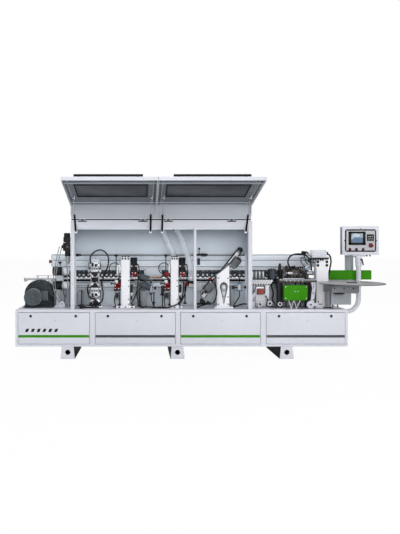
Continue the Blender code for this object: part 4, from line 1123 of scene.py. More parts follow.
def trimming_head(number, side):
    """One trimming head: red chip hood, drive motor, toothed cutter.  Gives back the cutter's centre."""
    node, cutter = f"trim_head_{number}_{side}", f"trim_cutter_{number}_{side}"
    c_low, c_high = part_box(cutter)
    centre = (c_low + c_high) / 2
    up = 1 if side == "top" else -1
    base = c_low.z if up > 0 else c_high.z

    def at(dx, y, dz):
        return (centre.x + dx, y, base + up * dz)

    def slab(shape, half, near, far, bottom, top, soft):
        z_low, z_high = sorted((base + up * bottom, base + up * top))
        shape.block((centre.x - half, near, z_low), (centre.x + half, far, z_high), soft)
    red, steel, dark, blade = Shape(), Shape(), Shape(), Shape()
    slab(red, 0.031, centre.y - 0.043, centre.y - 0.010, 0.026, 0.082, 0.008)
    red.turned(at(0, centre.y, 0.0225), Z * up, [(0, 0), (0, 0.030), (0.010, 0.034), (0.050, 0.034), (0.062, 0.024),
                                                (0.062, 0)], 32)
    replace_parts(red.make(f"trim_hood_{number}_{side}", node, "red_anodised"), node)
    slab(dark, 0.042, centre.y - 0.034, centre.y + 0.036, 0.080, 0.104, 0.005)
    slab(dark, 0.018, centre.y - 0.062, centre.y - 0.036, 0.128, 0.190, 0.004)
    dark.rod(at(-0.022, centre.y - 0.040, 0.060), at(-0.022, centre.y - 0.066, 0.060), 0.010, 0.002, 18)
    dark.rod(at(0.024, centre.y - 0.040, 0.036), at(0.024, centre.y - 0.060, 0.036), 0.008, 0.002, 18)
    dark.make(f"trim_boxes_{number}_{side}", node, "black_plastic")
    if up > 0:
        motor(f"trim_motor_{number}_{side}", node, at(0, centre.y, 0.100), at(0, centre.y, 0.262), 0.0425)
    else:
        motor(f"trim_motor_{number}_{side}", node, at(0, centre.y, 0.100), at(0, centre.y, 0.215), 0.030, "light_grey")
    for dx in (-0.020, 0.020):
        for dz in (0.036, 0.074):
            steel.bolt(at(dx, centre.y - 0.043, dz), -Y, 0.0045, 0.004)
    steel.ring(at(0, centre.y, 0.106), Z, 0.040 if up > 0 else 0.030, 0.0035, 32, 8)
    steel.make(f"trim_screws_{number}_{side}", node, "steel")
    if up > 0:
        collar = Shape()
        collar.turned(at(0, centre.y, 0.150), Z, [(0, 0), (0, 0.0445), (0.003, 0.046), (0.013, 0.046), (0.016, 0.0445),
                                                 (0.016, 0)], 32)
        collar.make(f"trim_collar_{number}", node, "white_plastic")
    teeth = 8
    outline = []
    for tooth in range(teeth):
        turn = 360 * tooth / teeth
        outline += arc((centre.x, centre.y), 0.0255, turn, turn + 22, 2)
        outline += arc((centre.x, centre.y), 0.0335, turn + 28, turn + 42, 1)
    blade.plate(outline, "Z", c_low.z + 0.002, c_high.z - 0.001, 0.0008)
    blade.rod((centre.x, centre.y, c_low.z + 0.0002), (centre.x, centre.y, c_high.z - 0.0002), 0.017, 0.001, 24)
    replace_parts(blade.make(f"trim_blade_{number}_{side}", cutter, "steel"), cutter)
    return centre


def trimming_details(number):
    """The column of one trimming unit with its heads, copying shoes, knobs and cables."""
    top_head = trimming_head(number, "top")
    bottom_head = trimming_head(number, "bottom")
    low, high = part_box(f"trimming_column_{number}")
    front = -0.200
    left, right = bottom_head.x + 0.052, top_head.x - 0.052
    lower_head = f"trim_head_{number}_bottom"
    screws, knobs, cables, guards, shoes = Shape(), Shape(), Shape(), Shape(), Shape()
    for place in (left + 0.016, (left + right) / 2, right - 0.016):
        screws.bolt((place, front, high.z - 0.018), -Y, 0.0085, 0.007)
        screws.bolt((place, front + 0.050, high.z), Z, 0.0085, 0.012)
    for level in (0.640, 0.700, 0.860, 0.930):
        screws.bolt((right - 0.014, front, level), -Y, 0.0055, 0.004)
    for place in (low.x + 0.020, high.x - 0.020):
        screws.bolt((place, front - 0.018, 0.614), Z, 0.011, 0.012)
        screws.bolt((place, -0.062, 0.614), Z, 0.011, 0.012)
        screws.rod((place, front - 0.034, 0.604), (place, front - 0.044, 0.604), 0.007, 0.001, 12)
    screws.make(f"column_screws_{number}", BASE, "black_plastic")
    adjuster(knobs, (left - 0.062, front + 0.015, 1.232), 0.200)
    knobs.rod((left - 0.020, front - 0.010, 0.650), (left - 0.020, front - 0.010, 0.790), 0.006, 0.002, 14)
    star_knob(knobs, (left - 0.020, front - 0.010, 0.640), -Z, 0.018, 0.016)
    rider = Shape()
    star_knob(rider, (left - 0.118, front + 0.020, 0.892), -X, 0.014, 0.014)
    rider.rod((left - 0.108, front + 0.020, 0.892), (left - 0.060, front + 0.020, 0.892), 0.006, 0.001, 12)
    rider.make(f"copying_knob_{number}", lower_head, "black_plastic")
    knobs.block((left - 0.046, front + 0.006, 0.930), (left - 0.020, front + 0.030, 0.968), 0.004)
    knobs.block((right + 0.006, front + 0.010, 0.780), (right + 0.040, front + 0.040, 0.880), 0.005)
    knobs.block((right + 0.012, front + 0.004, 0.690), (right + 0.034, front + 0.036, 0.740), 0.005)
    knobs.make(f"column_knobs_{number}", BASE, "black_plastic")
    foot, foot_bolts = Shape(), Shape()
    foot.block((low.x - 0.010, -0.236, 0.593), (high.x + 0.010, -0.190, 0.6195), 0.003)
    # painted light: the column foot uses the brighter copy of the white paint
    foot.make(f"column_foot_{number}", BASE, "bright_paint")
    for share in (0.14, 0.50, 0.86):
        place = low.x + (high.x - low.x) * share
        foot_bolts.bolt((place, -0.236, 0.606), -Y, 0.0065, 0.006)
    foot_bolts.make(f"column_foot_bolts_{number}", BASE, "black_plastic")
    guards.turned((left - 0.004, front + 0.030, 0.886), -X, [(0, 0), (0, 0.034), (0.030, 0.040), (0.056, 0.030),
                                                           (0.076, 0.012), (0.078, 0)], 32)
    guards.make(f"copying_guards_{number}", lower_head, "red_anodised")
    if number == 2:
        upper_guard = Shape()
        upper_guard.block((left - 0.078, front - 0.004, 0.980), (left - 0.026, front + 0.050, 1.036), 0.010)
        upper_guard.make("copying_upper_guard", BASE, "red_anodised")
    disc = Shape()
    disc.turned((left - 0.060, front + 0.006, 0.916), -Y, [(0, 0), (0, 0.024), (0.010, 0.024), (0.012, 0.020),
                                                         (0.012, 0)], 28)
    disc.make(f"copying_disc_{number}", lower_head, "aluminium")
    shoes.block((right + 0.010, front + 0.004, 0.745), (right + 0.036, front + 0.030, 0.780), 0.004)
    shoes.block((left - 0.030, front + 0.012, 1.020), (left - 0.006, front + 0.050, 1.120), 0.004)
    if number == 1:
        shoes.block((left - 0.060, front + 0.010, 0.990), (left - 0.034, front + 0.050, 1.120), 0.005)
        shoes.block((left - 0.060, front + 0.008, 1.100), (left - 0.006, front + 0.050, 1.124), 0.004)
    shoes.make(f"copying_shoes_{number}", BASE, "aluminium")
    hoop = [(left - 0.085 + 0.065 * cos(radians(a)), front + 0.040, 1.080 + 0.068 * sin(radians(a)))
            for a in range(-90, 241, 30)]
    cables.cable(hoop, 0.0055, 8)
    cables.cable([(right + 0.079, front + 0.005, 1.118), (right + 0.104, front - 0.010, 1.130),
                  (right + 0.118, front - 0.010, 1.060), (right + 0.105, front, 0.940), (right + 0.088, front - 0.015,
                  0.800), (right + 0.050, front - 0.020, 0.700), (right + 0.014, front - 0.010, 0.640)], 0.0065, 10)
    cables.cable([(left - 0.079, front + 0.005, 0.748), (left - 0.083, front + 0.006, 0.680),
                  (left - 0.072, front + 0.020, 0.6045), (left - 0.104, front + 0.040, 0.6045)], 0.0060, 10)
    cables.make(f"column_cables_{number}", BASE, "cable_black")


def middle_details():
    """Corner rounding group between the two trimming columns, and the drives beside it."""
    bracket, brown, dark, blue, cyl = Shape(), Shape(), Shape(), Shape(), Shape()
    bracket.plate([(-0.492, 0.594), (-0.412, 0.594), (-0.412, 0.770), (-0.440, 0.800), (-0.492, 0.800)], "Y",
                  -0.170, -0.120, 0.004)
    bracket.block((-0.540, -0.110, 0.594), (-0.500, 0.020, 0.930), 0.004)
    bracket.block((-0.560, -0.170, 0.870), (-0.520, -0.110, 0.930), 0.004)
    bracket.make("rounding_bracket", BASE, "grey_paint")
    brown.rod((-0.470, -0.150, 0.880), (-0.370, -0.150, 0.840), 0.044, 0.006, 30)
    brown.block((-0.512, -0.160, 0.800), (-0.440, -0.080, 0.900), 0.010)
    brown.rod((-0.500, -0.130, 0.985), (-0.395, -0.130, 0.945), 0.036, 0.006, 30)
    brown.finned((-0.492, -0.130, 0.982), (-0.410, -0.130, 0.950), 0.040, 0.010, 0.004, 28)
    brown.make("rounding_motors", BASE, "motor_paint")
    dark.block((-0.530, -0.120, 0.930), (-0.440, -0.050, 0.975), 0.008)
    for place in (-0.505, -0.330):
        dark.rod((place, -0.190, 0.600), (place, -0.190, 0.790), 0.008, 0.002, 14)
        star_knob(dark, (place, -0.190, 0.650), Z, 0.018, 0.016)
    star_knob(dark, (-0.318, -0.160, 0.835), X, 0.019, 0.018)
    dark.rod((-0.366, -0.150, 0.770), (-0.366, -0.150, 0.755), 0.022, 0.003, 20)
    dark.rod((-0.366, -0.150, 0.893), (-0.366, -0.150, 0.925), 0.010, 0.002, 16)
    dark.make("rounding_knobs", BASE, "black_plastic")
    cyl.rod((-0.366, -0.150, 0.772), (-0.366, -0.150, 0.880), 0.019, 0.003, 26)
    cyl.rod((-0.366, -0.150, 0.905), (-0.366, -0.150, 0.990), 0.005, 0.001, 12)
    cyl.block((-0.400, -0.130, 0.780), (-0.330, -0.100, 0.800), 0.003)
    cyl.make("rounding_cylinder", BASE, "aluminium")
    blue.block((-0.390, -0.175, 0.868), (-0.344, -0.130, 0.892), 0.005)
    blue.block((-0.390, -0.175, 0.768), (-0.344, -0.130, 0.784), 0.004)
    blue.make("rounding_cylinder_ends", BASE, "blue_plastic")
    shaft = Shape()
    shaft.rod((-0.440, -0.020, 0.962), (-0.230, -0.020, 0.962), 0.012, 0.002, 20)
    shaft.make("rounding_shaft", BASE, "bronze")
    cables = Shape()
    cables.cable([(-0.366, -0.175, 0.780), (-0.360, -0.200, 0.700), (-0.335, -0.200, 0.625), (-0.310, -0.190, 0.600),
                  (-0.240, -0.150, 0.6005)], 0.006, 8)
    cables.cable([(-0.520, -0.230, 0.640), (-0.470, -0.240, 0.602), (-0.430, -0.250, 0.612), (-0.300, -0.240, 0.602),
                  (-0.180, -0.245, 0.603), (-0.060, -0.250, 0.636), (0.000, -0.250, 0.690), (0.030, -0.240, 0.800),
                  (0.036, -0.225, 0.920)], 0.0085, 10)
    cables.cable([(-0.480, -0.180, 0.860), (-0.540, -0.220, 0.760), (-0.520, -0.235, 0.670), (-0.470, -0.230, 0.601)],
                 0.006, 8)
    cables.make("floor_cables", BASE, "cable_black")
    tall = Shape()
    tall.block((-0.240, -0.160, 0.770), (-0.205, -0.120, 0.860), 0.004)
    tall.rod((-0.222, -0.140, 0.600), (-0.222, -0.140, 0.770), 0.007, 0.001, 14)
    tall.rod((-0.222, -0.140, 0.742), (-0.222, -0.140, 0.768), 0.026, 0.004, 24)
    tall.make("second_unit_spindle", BASE, "black_plastic")
    red = Shape()
    red.block((0.050, -0.205, 0.860), (0.105, -0.150, 0.905), 0.008)
    red.rod((0.085, -0.205, 0.882), (0.085, -0.225, 0.882), 0.016, 0.003, 20)
    red.make("second_unit_guard", BASE, "red_anodised")
    post = Shape()
    post.rod((0.055, -0.190, 0.640), (0.055, -0.190, 0.860), 0.008, 0.002, 14)
    star_knob(post, (0.055, -0.190, 0.660), -Z, 0.020, 0.018)
    post.make("second_unit_post", BASE, "black_plastic")


def dust_hoses():
    for name, knots, size in (
            ("left", [(-0.215, -0.110, 1.600), (-0.195, -0.120, 1.500), (-0.140, -0.130, 1.370), (-0.090, -0.120, 1.260),
                      (-0.060, -0.100, 1.190)], 0.034),
            ("right", [(-0.075, -0.110, 1.600), (-0.010, -0.130, 1.500), (0.055, -0.180, 1.330), (0.110, -0.230, 1.150),
                       (0.128, -0.245, 0.980), (0.118, -0.240, 0.900)], 0.034)):
        hose = Shape()
        hose.cable(knots, size, 16, 14, 0.06)
        hose.make(f"dust_hose_{name}", BASE, "dust_hose")
        cuff = Shape()
        start, ahead = Vector(knots[0]), Vector(knots[1])
        cuff.rod(start, start + (ahead - start).normalized() * 0.04, size * 1.16, 0.003, 24)
        end, behind = Vector(knots[-1]), Vector(knots[-2])
        cuff.rod(end, end + (behind - end).normalized() * 0.035, size * 1.16, 0.003, 24)
        cuff.make(f"dust_hose_cuffs_{name}", BASE, "black_plastic")


# ================================================================ end trimming
def saw_carriage(name, centre, along, over, way):
    """One saw carriage: its ribbed housing on the guide, cover, screws and coupling."""
    node = f"end_saw_carriage_{name}"
    housing, plate, bits, ends = Shape(), Shape(), Shape(), Shape()
    lean = (-51.46, "Y")

    def slab(shape, share, across, long, wide, near, far, soft):
        middle = centre + along * share + over * across
        shape.block((middle.x - long / 2, near, middle.z - wide / 2), (middle.x + long / 2, far, middle.z + wide / 2),
                    soft, lean)
    slab(housing, 0.0, 0.0, 0.150, 0.092, -0.212, -0.131, 0.005)
    for index in range(8):
        slab(housing, (index - 3.5) * 0.0165, 0.0, 0.008, 0.080, -0.222, -0.206, 0.002)
    slab(housing, -0.055 * way, 0.0, 0.030, 0.070, -0.236, -0.206, 0.006)
    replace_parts(housing.make(f"saw_housing_{name}", node, "saw_grey"), node)
    slab(plate, 0.020 * way, 0.034, 0.090, 0.006, -0.230, -0.140, 0.002)
    slab(plate, 0.058 * way, -0.010, 0.022, 0.050, -0.240, -0.204, 0.005)
    slab(plate, 0.0, -0.050, 0.130, 0.006, -0.200, -0.134, 0.002)
    plate.make(f"saw_cover_{name}", node, "black_plastic")
    for share in (-0.066, 0.066):
        for across in (-0.036, 0.036):
            bits.bolt(centre + along * share + over * across - Y * 0.002, -Y, 0.0055, 0.005)
    bits.make(f"saw_screws_{name}", node, "steel")
    spot = centre + along * way * 0.062
    ends.rod(spot, spot + along * way * 0.024, 0.013, 0.002, 18)
    ends.make(f"saw_coupling_{name}", node, "red_anodised" if way < 0 else "aluminium")


def end_trimming_details():
    start, end = Vector((0.282, -0.11, 0.724)), Vector((0.767, -0.11, 1.333))
    along = (end - start).normalized()
    over = Y.cross(along).normalized()
    rails, screws, stops = Shape(), Shape(), Shape()
    for side in (-1, 1):
        rails.rod(start + along * 0.01 + over * side * 0.0255, end - along * 0.01 + over * side * 0.0255, 0.0090, 0.002, 14)
        rails.rod(start + along * 0.02 + over * side * 0.0235 - Y * 0.014, end - along * 0.02 + over * side * 0.0235
                  - Y * 0.014, 0.0045, 0.001, 10)
    tip = end - along * 0.024 - Y * 0.022
    rails.block((tip.x - 0.025, tip.y - 0.003, tip.z - 0.021), (tip.x + 0.025, tip.y + 0.001, tip.z + 0.021), 0.003,
                (-51.46, "Y"))
    rails.make("end_trim_rails", BASE, "black_steel")
    faces = Shape()
    for near, far in ((0.190, 0.530), (0.702, 0.774)):
        middle = start + along * (near + far) / 2 - Y * 0.0210
        half = (far - near) / 2
        faces.block((middle.x - half, middle.y - 0.0008, middle.z - 0.0195), (middle.x + half, middle.y + 0.0008,
                    middle.z + 0.0195), 0.0004, (-51.46, "Y"))
    faces.make("end_trim_guide_faces", BASE, "grey_paint")
    for share in (0.30, 0.42, 0.54, 0.66, 0.97):
        screws.bolt(start + (end - start) * share - Y * 0.0202, -Y, 0.006, 0.004)
    for place, height in ((0.463, 0.640), (0.583, 0.640), (0.463, 0.965), (0.583, 0.960), (0.583, 0.730)):
        screws.bolt((place, -0.220, height), -Y, 0.006, 0.005)
    for place in (0.425, 0.625):
        for depth in (-0.235, -0.075):
            screws.bolt((place, depth, 0.614), Z, 0.009, 0.007)
    screws.make("end_trim_screws", BASE, "black_plastic")
    for share, size in ((0.012, 0.012), (0.985, 0.012)):
        centre = start + (end - start) * share
        stops.rod(centre - along * size, centre + along * size, 0.016, 0.003, 18)
    stops.block((0.352, -0.215, 0.936), (0.386, -0.150, 0.968), 0.005)
    stops.rod((0.368, -0.212, 0.952), (0.368, -0.228, 0.952), 0.011, 0.003, 20)
    stops.make("end_trim_stops", BASE, "red_anodised")
    rim = Shape()
    eye = [(0.5315, 0.640), *arc((0.5315, 0.860), 0.042, -11, 191, 16)]
    rim.sweep([(x, -0.2205, z) for x, z in eye], 0.0062, 8, True)
    rim.rod((0.5315, -0.218, 0.903), (0.5315, -0.228, 0.903), 0.012, 0.002, 16)
    rim.make("end_trim_eye_rim", BASE, "black_plastic")
    back = Shape()
    back.block((0.495, -0.176, 0.640), (0.568, -0.172, 0.915), 0.002)
    back.make("end_trim_eye_back", BASE, "interior_paint")
    tubes, tips = Shape(), Shape()
    for place, height in ((0.5315, 0.850), (0.5315, 0.770)):
        tubes.rod((place, -0.208, height - 0.026), (place, -0.208, height + 0.028), 0.0215, 0.004, 24)
        tips.rod((place, -0.205, height + 0.024), (place, -0.205, height + 0.034), 0.011, 0.002, 18)
        tips.rod((place, -0.205, height - 0.034), (place, -0.205, height - 0.022), 0.011, 0.002, 18)
    tubes.rod((0.735, -0.150, 0.800), (0.735, -0.150, 0.890), 0.0185, 0.004, 24)
    tips.block((0.708, -0.178, 0.880), (0.762, -0.122, 0.906), 0.005)
    tips.block((0.708, -0.178, 0.792), (0.762, -0.122, 0.812), 0.005)
    tubes.make("end_trim_cylinders", BASE, "white_plastic")
    tips.make("end_trim_cylinder_ends", BASE, "blue_plastic")
    dark, plates = Shape(), Shape()
    plates.plate([(0.196, 0.804), (0.252, 0.804), (0.276, 0.830), (0.276, 0.870), (0.240, 0.902), (0.196, 0.902)], "Y",
                 -0.160, -0.110, 0.004)
    plates.block((0.205, -0.060, 0.594), (0.262, 0.020, 0.800), 0.005)
    plates.block((0.640, -0.060, 0.594), (0.690, 0.030, 0.860), 0.005)
    plates.make("end_trim_plates", BASE, "light_grey")
    dark.rod((0.245, -0.205, 0.700), (0.300, -0.205, 0.660), 0.020, 0.003, 20)
    dark.rod((0.200, -0.180, 0.640), (0.380, -0.180, 0.650), 0.012, 0.002, 16)
    for place in (0.255, 0.335):
        star_knob(dark, (place, -0.215, 0.665), -Y, 0.020, 0.020)
    dark.rod((0.735, -0.150, 0.905), (0.735, -0.150, 0.960), 0.007, 0.001, 14)
    star_knob(dark, (0.800, -0.150, 0.845), X, 0.017, 0.016)
    dark.rod((0.660, -0.150, 0.842), (0.708, -0.150, 0.842), 0.008, 0.001, 14)
    dark.block((0.645, -0.170, 0.820), (0.668, -0.130, 0.865), 0.004)
    dark.make("end_trim_knobs", BASE, "black_plastic")
    cables = Shape()
    cables.cable([(0.735, -0.178, 0.800), (0.720, -0.215, 0.730), (0.665, -0.240, 0.650), (0.650, -0.200, 0.601)], 0.0065, 8)
    cables.cable([(0.640, -0.240, 0.603), (0.700, -0.230, 0.625), (0.770, -0.220, 0.645), (0.815, -0.215, 0.640)],
                 0.0085, 10)
    cables.cable([(0.420, -0.250, 0.900), (0.438, -0.256, 0.780), (0.400, -0.250, 0.660), (0.300, -0.235, 0.640),
                  (0.200, -0.220, 0.602)], 0.0085, 10)
    cables.make("end_trim_cables", BASE, "cable_black")
    for name, centre, way in (("lower", Vector((0.354, -0.210, 0.840)), -1), ("upper", Vector((0.684, -0.210, 1.152)), 1)):
        saw_carriage(name, centre, along, over, way)
    fitting = Shape()
    fitting.block((0.262, -0.150, 1.226), (0.330, -0.090, 1.266), 0.008)
    fitting.rod((0.182, -0.120, 1.246), (0.345, -0.120, 1.246), 0.012, 0.002, 18)
    fitting.rod((0.236, -0.120, 1.325), (0.236, -0.145, 1.325), 0.013, 0.003, 18)
    fitting.rod((0.236, -0.120, 1.250), (0.236, -0.120, 1.330), 0.005, 0.001, 12)
    fitting.block((0.214, -0.150, 1.120), (0.246, -0.090, 1.205), 0.006)
    fitting.block((-1.300, -0.150, 1.228), (-1.262, -0.100, 1.262), 0.006)
    fitting.rod((-1.262, -0.125, 1.245), (-1.238, -0.125, 1.245), 0.013, 0.002, 18)
    fitting.make("mid_post_fitting", BASE, "black_plastic")


# ================================================================ pressing, glue and infeed
def pressing_details():
    rollers, caps, zig, knobs, steel = Shape(), Shape(), Shape(), Shape(), Shape()
    for index in range(4):
        place = 0.915 + 0.045 * index
        profile = [(0, 0), (0, 0.0125), (0.004, 0.0125), (0.006, 0.0203), (0.008, 0.0208), (0.078, 0.0208),
                   (0.081, 0.0203), (0.083, 0.0125), (0.088, 0.0125), (0.088, 0)]
        rollers.turned((place, -0.0405, 0.9495), Z, profile, 26)
        caps.rod((place, -0.0405, 1.035), (place, -0.0405, 1.048), 0.010, 0.002, 6)
        caps.block((place - 0.018, -0.020, 1.030), (place + 0.018, 0.020, 1.046), 0.003)
    rollers.make("press_rollers", BASE, "aluminium")
    caps.block((0.884, -0.080, 0.938), (1.075, 0.020, 0.949), 0.003)
    caps.block((0.884, -0.014, 0.946), (1.075, -0.006, 1.046), 0.003)
    caps.block((0.880, -0.124, 0.936), (1.128, -0.1065, 0.947), 0.002)
    caps.make("press_roller_yokes", BASE, "black_steel")
    for index in range(8):
        place = 0.908 + index * 0.032
        zig.block((place - 0.0115, -0.120, 0.872), (place + 0.0115, -0.098, 0.938), 0.003, (34, "Y"))
        steel.bolt((place + 0.004, -0.118, 0.912), -Y, 0.004, 0.003)
        steel.bolt((place - 0.012, -0.100, 0.868), -Y, 0.005, 0.010)
    zig.make("press_adjuster_tabs", BASE, "white_plastic")
    knobs.block((0.888, -0.098, 0.872), (1.158, -0.062, 0.934), 0.003)
    knobs.block((0.892, -0.104, 0.862), (1.156, -0.084, 0.874), 0.002)
    knobs.make("press_adjuster_block", BASE, "black_plastic")
    red = Shape()
    red.block((0.952, -0.150, 0.752), (1.040, -0.090, 0.830), 0.010)
    red.rod((0.997, -0.146, 0.792), (0.997, -0.186, 0.792), 0.036, 0.005, 30)
    red.rod((1.020, -0.120, 0.828), (1.020, -0.120, 0.852), 0.018, 0.003, 20)
    red.make("press_drive_motor", BASE, "motor_red")
    frame_plate = Shape()
    frame_plate.block((0.940, -0.130, 0.600), (1.075, -0.098, 0.760), 0.006)
    frame_plate.plate([(0.905, 0.676), (0.940, 0.740), (0.940, 0.800), (0.890, 0.740)], "Y", -0.135, -0.105, 0.003)
    frame_plate.block((1.060, -0.140, 0.690), (1.108, -0.080, 0.870), 0.006)
    frame_plate.make("press_drive_bracket", BASE, "white_paint")
    for place, height, size in ((0.905, 0.690, 0.016), (0.982, 0.640, 0.026), (1.101, 0.650, 0.028), (1.226, 0.640, 0.026)):
        wheel = Vector((place, -0.190, height))
        steel.turned(wheel, -Y, [(0, 0), (0, size), (0.006, size * 1.12), (0.016, size * 1.12), (0.022, size),
                                 (0.022, size * 0.6), (0.016, size * 0.55), (0.016, 0)], 28)
        knobs_on = Shape()
        knobs_on.turned(wheel - Y * 0.015, -Y, [(0, 0), (0, size * 0.55), (0.012, size * 0.50), (0.014, size * 0.30),
                                               (0.014, 0)], 22)
        knobs_on.rod(wheel, wheel + Y * 0.050, size * 0.4, 0.002, 16)
        knobs_on.make(f"setting_wheel_hub_{int(place * 1000)}", BASE, "black_plastic")
        steel.block((place - 0.022, -0.160, 0.594), (place + 0.022, -0.125, height + 0.01), 0.005)
    steel.make("setting_wheels", BASE, "white_plastic")
    low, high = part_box("main_pressure_roller")
    middle = (low + high) / 2
    roller = Shape()
    roller.turned((middle.x, middle.y, low.z), Z,
                  [(0, 0), (0, 0.014), (0.034, 0.014), (0.036, 0.030), (0.040, 0.0395), (0.046, 0.0398), (0.136, 0.0398),
                   (0.142, 0.0385), (0.144, 0.030), (0.146, 0.030), (0.148, 0.036), (0.164, 0.036), (0.168, 0.020),
                   (0.170, 0.016), (0.170, 0)], 40)
    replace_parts(roller.make("main_roller_tread", "main_pressure_roller", "roller_rubber"), "main_pressure_roller")
    hub = Shape()
    hub.turned((middle.x, middle.y, high.z - 0.003), Z, [(0, 0), (0, 0.015), (0.008, 0.015), (0.010, 0.008),
                                                        (0.010, 0)], 6)
    hub.make("main_roller_nut", "main_pressure_roller", "steel")
    yoke = Shape()
    yoke.block((1.130, -0.076, 0.880), (1.214, 0.030, 0.9035), 0.005)
    yoke.block((1.120, 0.000, 0.900), (1.222, 0.034, 1.060), 0.006)
    yoke.block((1.196, -0.210, 0.600), (1.250, -0.150, 0.910), 0.010)
    yoke.make("main_roller_yoke", BASE, "black_plastic")
    front = Shape()
    front.cable([(1.130, -0.130, 0.880), (1.150, -0.165, 0.780), (1.140, -0.180, 0.690), (1.180, -0.190, 0.620)], 0.010, 10)
    front.cable([(1.060, -0.150, 0.740), (1.080, -0.190, 0.680), (1.060, -0.220, 0.620), (1.180, -0.230, 0.603)], 0.007, 8)
    front.make("press_cables", BASE, "cable_black")


